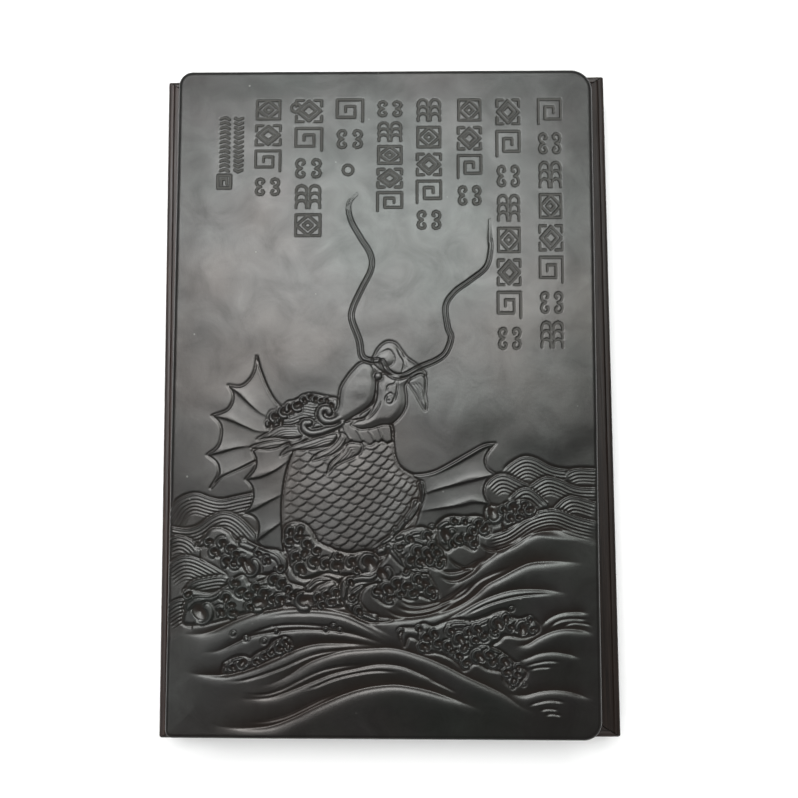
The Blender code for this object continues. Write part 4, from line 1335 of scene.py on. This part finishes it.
def cut_key_slots(rails, look):
    """Lets the mitre keys into the rails, with the same small gap as in the CAD."""
    for sx, sy in ((-1, 1), (1, 1), (1, -1), (-1, -1)):
        cutter = slot_cutter(sx, sy, look)
        for rail in rails:
            modifier = rail.modifiers.new("slot", "BOOLEAN")
            modifier.operation = "DIFFERENCE"
            modifier.solver = "EXACT"
            modifier.object = cutter
        bpy.context.view_layer.update()
        graph = bpy.context.evaluated_depsgraph_get()
        for rail in rails:
            cut = bpy.data.meshes.new_from_object(rail.evaluated_get(graph))
            rail.modifiers.clear()
            rail.data = cut
        bpy.data.objects.remove(cutter)


def pressed_lumps(rng, ny, nx):
    """The slow unevenness of pressed wool, about -1 to 1."""
    lumps = rng.uniform(-1.0, 1.0, (ny, nx))
    for _ in range(2):
        wide = np.pad(lumps, 1, mode="edge")
        lumps = (wide[:-2, 1:-1] + wide[2:, 1:-1] + wide[1:-1, :-2] + wide[1:-1, 2:] + 2 * lumps) / 6
    return lumps


def felt_loops(rim_x, rim_y, fuzz):
    """The felt's ragged edge, as loops of points down its side."""
    for inset, height in ((0.02, 12.75), (0.02, 12.5), (0.3, FELT_LOW)):
        shrink_x = 1.0 - 2 * (inset + fuzz) / FELT_WIDTH
        shrink_y = 1.0 - 2 * (inset + fuzz) / FELT_LENGTH
        yield rim_x * shrink_x, rim_y * shrink_y, height


def felt_liner(look):
    """A felt sheet, soft at its edges, with the slight unevenness that pressed wool has."""
    pitch = 1.0
    nx, ny = int(FELT_WIDTH / pitch) + 1, int(FELT_LENGTH / pitch) + 1
    gx, gy = np.meshgrid(
        np.linspace(-FELT_WIDTH / 2, FELT_WIDTH / 2, nx),
        np.linspace(-FELT_LENGTH / 2, FELT_LENGTH / 2, ny),
    )
    radii = (4.0,) * 4
    x, y = round_block(gx, gy, FELT_WIDTH, FELT_LENGTH, radii)
    depth = np.clip(inside_block(x, y, FELT_WIDTH, FELT_LENGTH, radii), 0.0, None)
    rng = np.random.RandomState(11)
    top = FELT_TOP - 0.08 + 0.16 * pressed_lumps(rng, ny, nx) - 0.35 * (1.0 - round_over(depth, 1.6))
    rim = rim_indices(ny, nx)
    fuzz = rng.uniform(0.0, 0.12, len(rim))
    loops = felt_loops(x.reshape(-1)[rim], y.reshape(-1)[rim], fuzz)
    points, quads, last = walled(x, y, np.minimum(top, FELT_TOP + 0.05), loops)
    made = object_of("felt_sheet", points * MM, quads, look, extra_faces=[last[::-1]])
    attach(made, "tray")
    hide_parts("felt_liner")


# Materials ------------------------------------------------------------------------------------


class Look:
    """A material's node tree, with short ways to add and join nodes."""

    def __init__(self, name, roughness, specular=0.5, sheen=0.0):
        self.material = bpy.data.materials.new(name)
        self.material.use_nodes = True
        self.tree = self.material.node_tree
        self.shader = self.tree.nodes["Principled BSDF"]
        self.shader.inputs["Roughness"].default_value = roughness
        self.shader.inputs["Specular IOR Level"].default_value = specular
        self.shader.inputs["Sheen Weight"].default_value = sheen

    def add(self, kind, **settings):
        node = self.tree.nodes.new(kind)
        for key, value in settings.items():
            setattr(node, key, value)
        return node

    def join(self, output, socket):
        self.tree.links.new(output, socket)

    def feed(self, socket, value):
        """Joins a socket to an output, or sets it to a number or a colour."""
        if isinstance(value, bpy.types.NodeSocket):
            self.join(value, socket)
        elif isinstance(value, (int, float)):
            socket.default_value = value
        else:
            socket.default_value = (*value, 1.0)

    def place(self, scale=(1.0, 1.0, 1.0)):
        """Object coordinates, stretched by the scale."""
        coords = self.add("ShaderNodeTexCoord")
        mapping = self.add("ShaderNodeMapping")
        mapping.inputs["Scale"].default_value = scale
        self.join(coords.outputs["Object"], mapping.inputs["Vector"])
        return mapping.outputs["Vector"]

    def noise(self, vector, scale, detail=4.0, rough=0.55, distortion=0.0):
        node = self.add("ShaderNodeTexNoise")
        node.inputs["Scale"].default_value = scale
        node.inputs["Detail"].default_value = detail
        node.inputs["Roughness"].default_value = rough
        node.inputs["Distortion"].default_value = distortion
        self.join(vector, node.inputs["Vector"])
        return node.outputs["Fac"]

    def voronoi(self, vector, scale):
        node = self.add("ShaderNodeTexVoronoi", feature="F1")
        node.inputs["Scale"].default_value = scale
        self.join(vector, node.inputs["Vector"])
        return node.outputs["Distance"]

    def ramp(self, value, stops):
        """Colours or grey levels at places along a value."""
        node = self.add("ShaderNodeValToRGB")
        elements = node.color_ramp.elements
        while len(elements) < len(stops):
            elements.new(0.5)
        for element, (place, colour) in zip(elements, stops):
            element.position = place
            if isinstance(colour, (int, float)):
                colour = (colour, colour, colour)
            element.color = (*colour, 1.0)
        self.join(value, node.inputs["Fac"])
        return node.outputs["Color"]

    def mix(self, factor, first, second):
        node = self.add("ShaderNodeMix", data_type="RGBA", blend_type="MIX")
        for socket, value in zip((node.inputs[0], node.inputs[6], node.inputs[7]), (factor, first, second)):
            self.feed(socket, value)
        return node.outputs[2]

    def layer(self, base, colour, mask, share):
        """The colour laid over the base, as far as a mask times a share of it allows."""
        product = self.add("ShaderNodeMath", operation="MULTIPLY")
        self.feed(product.inputs[0], mask)
        self.feed(product.inputs[1], share)
        return self.mix(product.outputs[0], base, colour)

    def attribute(self, name):
        return self.add("ShaderNodeAttribute", attribute_name=name).outputs["Fac"]

    def colour(self, output):
        self.join(output, self.shader.inputs["Base Color"])

    def roughness(self, output):
        self.join(output, self.shader.inputs["Roughness"])

    def bump(self, height, distance, strength=1.0):
        node = self.add("ShaderNodeBump")
        node.inputs["Distance"].default_value = distance
        node.inputs["Strength"].default_value = strength
        self.join(height, node.inputs["Height"])
        previous = self.shader.inputs["Normal"]
        if previous.is_linked:
            self.join(previous.links[0].from_socket, node.inputs["Normal"])
        self.join(node.outputs["Normal"], previous)


def stone_look(name, carved):
    """Dark satin slate: faint green and purple mottling, fine grain and a few pale specks."""
    look = Look(name, 0.42)
    where = look.place()
    broad = look.noise(where, 22.0, 5.0, 0.6)
    green_stops = [
        (0.35, (0.0046, 0.0046, 0.0042)), (0.5, (0.0062, 0.0058, 0.0053)), (0.68, (0.0055, 0.0070, 0.0055)),
    ]
    green = look.ramp(broad, green_stops)
    patch = look.ramp(look.noise(where, 55.0, 4.0, 0.6, 0.4), [(0.48, 0.0), (0.72, 1.0)])
    base = look.layer(green, (0.0075, 0.0056, 0.0068), patch, 0.55)
    grain = look.noise(where, 2400.0, 3.0, 0.6)
    base = look.layer(base, (0.0105, 0.0098, 0.0088), grain, 0.35)
    specks = look.ramp(look.voronoi(where, 190.0), [(0.0, 1.0), (0.055, 1.0), (0.085, 0.0)])
    choice = look.ramp(look.noise(where, 60.0, 2.0), [(0.60, 0.0), (0.66, 1.0)])
    base = look.layer(base, (0.09, 0.09, 0.085), specks, choice)
    rough = look.ramp(look.noise(where, 38.0, 4.0), [(0.3, 0.31), (0.7, 0.37)])
    if carved:
        low = look.ramp(look.attribute("cut_depth"), [(0.22, 0.0), (0.75, 1.0)])
        base = look.layer(base, (0.0220, 0.0145, 0.0112), low, 0.6)
        fresh = look.attribute("cut_fresh")
        base = look.layer(base, (0.078, 0.077, 0.070), fresh, 0.75)
        rough = look.mix(fresh, rough, (0.75, 0.75, 0.75))
    sheen = look.noise(where, 15.0, 3.0, 0.5)
    tint = look.ramp(
        sheen, [(0.36, (1.0, 0.95, 0.91)), (0.50, (0.98, 0.98, 0.96)), (0.64, (0.94, 0.99, 0.96))]
    )
    look.join(tint, look.shader.inputs["Specular Tint"])
    look.colour(base)
    look.roughness(rough)
    clouds = look.noise(where, 70.0, 6.0, 0.62, 0.8)
    look.join(look.ramp(clouds, [(0.30, 0.38), (0.70, 0.62)]), look.shader.inputs["Specular IOR Level"])
    look.bump(look.noise(where, 900.0, 3.0), 0.00003, 0.6)
    look.bump(look.noise(where, 120.0, 3.0), 0.00010, 0.35)
    return look.material


def wood_look(name, along, dark, light, roughness, specular=0.5):
    """Hardwood with its grain along one axis: streaks, fine pores and slight polish wear."""
    look = Look(name, roughness, specular)
    stretch = {"x": (0.06, 1.0, 1.0), "y": (1.0, 0.06, 1.0)}[along]
    fine_stretch = {"x": (0.02, 1.0, 1.0), "y": (1.0, 0.02, 1.0)}[along]
    long_way = look.place(stretch)
    fine = look.place(fine_stretch)
    bands = look.noise(long_way, 260.0, 5.0, 0.62, 1.2)
    streak = look.noise(fine, 1500.0, 3.0, 0.65)
    middle = tuple((a + b) / 2 for a, b in zip(dark, light))
    base = look.ramp(bands, [(0.30, dark), (0.52, middle), (0.74, light)])
    streaks = look.ramp(streak, [(0.42, 0.0), (0.62, 1.0)])
    base = look.layer(base, tuple(1.7 * c for c in light), streaks, 0.45)
    pores = look.ramp(look.noise(fine, 3000.0, 2.0, 0.5), [(0.60, 0.0), (0.68, 1.0)])
    base = look.layer(base, tuple(0.35 * c for c in dark), pores, 0.7)
    look.colour(base)
    look.roughness(look.ramp(streak, [(0.3, roughness - 0.06), (0.7, roughness + 0.10)]))
    look.bump(look.noise(fine, 1500.0, 3.0, 0.65), 0.00012, 0.8)
    look.bump(pores, 0.00010, -0.6)
    return look.material


def felt_look():
    """Pressed wool: tangled fibres, a soft sheen and slight colour drift."""
    look = Look("wine_felt", 0.95, 0.2, 0.35)
    where = look.place()
    warped = look.add("ShaderNodeVectorMath", operation="ADD")
    drift = look.add("ShaderNodeTexNoise")
    drift.inputs["Scale"].default_value = 260.0
    look.join(where, drift.inputs["Vector"])
    scaled = look.add("ShaderNodeVectorMath", operation="SCALE")
    scaled.inputs["Scale"].default_value = 0.004
    look.join(drift.outputs["Color"], scaled.inputs[0])
    look.join(where, warped.inputs[0])
    look.join(scaled.outputs[0], warped.inputs[1])
    fibres = look.noise(warped.outputs[0], 2200.0, 5.0, 0.75, 2.5)
    wool_stops = [
        (0.32, (0.030, 0.005, 0.006)), (0.52, (0.085, 0.013, 0.016)), (0.72, (0.160, 0.034, 0.036)),
    ]
    base = look.ramp(fibres, wool_stops)
    cloud = look.noise(where, 40.0, 3.0)
    base = look.layer(base, (0.050, 0.008, 0.012), cloud, 0.35)
    look.colour(base)
    look.bump(fibres, 0.00035, 0.9)
    return look.material


def cork_look():
    look = Look("cork", 0.9, 0.25)
    where = look.place()
    cells = look.voronoi(where, 900.0)
    cork_stops = [(0.0, (0.10, 0.05, 0.022)), (0.35, (0.27, 0.15, 0.07)), (0.8, (0.40, 0.25, 0.13))]
    base = look.ramp(cells, cork_stops)
    flecks = look.ramp(look.noise(where, 600.0, 3.0), [(0.58, 0.0), (0.66, 1.0)])
    base = look.mix(flecks, base, (0.06, 0.03, 0.015))
    look.colour(base)
    look.bump(cells, 0.0003, 0.8)
    return look.material


def paint_nodes(look, *names):
    for name in names:
        mesh = NODES[name].data
        mesh.materials.clear()
        mesh.materials.append(look)


# Studio ---------------------------------------------------------------------------------------


def make_floor():
    look = Look("floor_paper", 0.9, 0.1)
    tone = look.ramp(look.noise(look.place(), 3.0, 2.0), [(0.3, 0.93), (0.7, 0.96)])
    look.colour(tone)
    corners = np.array([(-1.0, -1.0, 0.0), (1.0, -1.0, 0.0), (1.0, 1.0, 0.0), (-1.0, 1.0, 0.0)])
    floor = object_of("floor", FLOOR_REACH * corners, np.array([(0, 1, 2, 3)]), look.material)


def area_light(name, spot, target, width, height, power, colour=(1.0, 1.0, 1.0), glossy=True):
    data = bpy.data.lights.new(name, "AREA")
    data.shape = "RECTANGLE"
    data.size, data.size_y = width, height
    data.energy = power
    data.color = colour
    light = bpy.data.objects.new(name, data)
    bpy.context.scene.collection.objects.link(light)
    light.location = spot
    light.visible_glossy = glossy
    light.rotation_euler = (Vector(target) - Vector(spot)).to_track_quat("-Z", "Y").to_euler()


def make_world():
    """Pale walls low down and a dim ceiling, so that flat tops stay dark and sides read."""
    world = bpy.data.worlds.new("studio")
    bpy.context.scene.world = world
    world.use_nodes = True
    tree = world.node_tree
    background = tree.nodes["Background"]
    coords = tree.nodes.new("ShaderNodeTexCoord")
    split = tree.nodes.new("ShaderNodeSeparateXYZ")
    ramp = tree.nodes.new("ShaderNodeValToRGB")
    tree.links.new(coords.outputs["Generated"], split.inputs[0])
    tree.links.new(split.outputs["Z"], ramp.inputs["Fac"])
    tree.links.new(ramp.outputs["Color"], background.inputs["Color"])
    stops = ramp.color_ramp.elements
    stops[0].position, stops[0].color = 0.05, (1.0, 1.0, 1.0, 1.0)
    stops[1].position, stops[1].color = 0.55, (0.03, 0.03, 0.032, 1.0)
    background.inputs["Strength"].default_value = 1.0


def make_camera():
    data = bpy.data.cameras.new("camera")
    data.sensor_width = 36.0
    data.lens = 36.0 * 800.0 / 798.0
    data.clip_start = 0.005
    camera = bpy.data.objects.new("camera", data)
    bpy.context.scene.collection.objects.link(camera)
    camera.location = (9.21 * MM, -23.97 * MM, 336.3 * MM)
    camera.rotation_euler = [math.radians(angle) for angle in (4.275, 0.837, -0.383)]
    bpy.context.scene.camera = camera


def build():
    """Makes every look, the pieces that replace the CAD's, and the studio."""
    carved = stone_look("carved_stone", True)
    plain = stone_look("stone", False)
    rosewood_y = wood_look("rosewood_side", "y", (0.0068, 0.0036, 0.0029), (0.030, 0.0155, 0.0112), 0.42)
    # A darker copy of the side-rail rosewood for the right rail: its darker colour is painted shade,
    # because that rail lies away from the light. It also has lower specular.
    shade_painted_dark, shade_painted_light = (0.0040, 0.0027, 0.0021), (0.0155, 0.0100, 0.0075)
    shade_painted_wood = wood_look("rosewood_shade_painted", "y", shade_painted_dark, shade_painted_light, 0.46, 0.24)
    rosewood_x = wood_look("rosewood_end", "x", (0.0050, 0.0038, 0.0034), (0.021, 0.0145, 0.0118), 0.40)
    panel_wood = wood_look("panel_wood", "y", (0.045, 0.024, 0.015), (0.115, 0.066, 0.038), 0.55)
    key_wood = wood_look("key_wood", "x", (0.050, 0.026, 0.016), (0.125, 0.070, 0.040), 0.5)
    stone_cover(carved)
    rails = [
        # The right rail takes the darker copy of the rosewood, which is painted shade.
        make_rail("right_rail_wood", "right_rail", True, 0, shade_painted_wood),
        make_rail("far_rail_wood", "far_rail", False, 90, rosewood_x),
        make_rail("left_rail_wood", "left_rail", True, 180, rosewood_y),
        make_rail("near_rail_wood", "near_rail", False, 270, rosewood_x),
    ]
    cut_key_slots(rails, shade_painted_wood)
    felt_liner(felt_look())
    paint_nodes(plain, "inkstone_body")
    corners = ("far_left", "far_right", "near_right", "near_left")
    paint_nodes(key_wood, *(where + "_mitre_key" for where in corners))
    paint_nodes(rosewood_x, "far_batten", "near_batten", *(where + "_foot" for where in corners))
    paint_nodes(panel_wood, "floor_panel")
    paint_nodes(cork_look(), *(where + "_pad" for where in corners))
    make_floor()
    make_world()
    make_camera()
    area_light("main_softbox", (-0.11, 0.42, 1.34), (0.0, 0.0, 0.0), 0.85, 0.57, 19.5)
    area_light("left_panel", (-0.50, -0.32, 1.25), (0.0, 0.0, 0.0), 0.2, 0.7, 1.6)
    green_white = (0.95, 1.0, 0.93)
    area_light("right_panel", (0.40, 0.28, 1.33), (0.0, 0.0, 0.0), 0.22, 0.6, 2.2, green_white)
    area_light("ceiling", (0.0, 0.0, 2.2), (0.0, 0.0, 0.0), 3.0, 3.0, 9.0, glossy=False)
    bpy.context.scene.view_settings.view_transform = "Standard"


build()
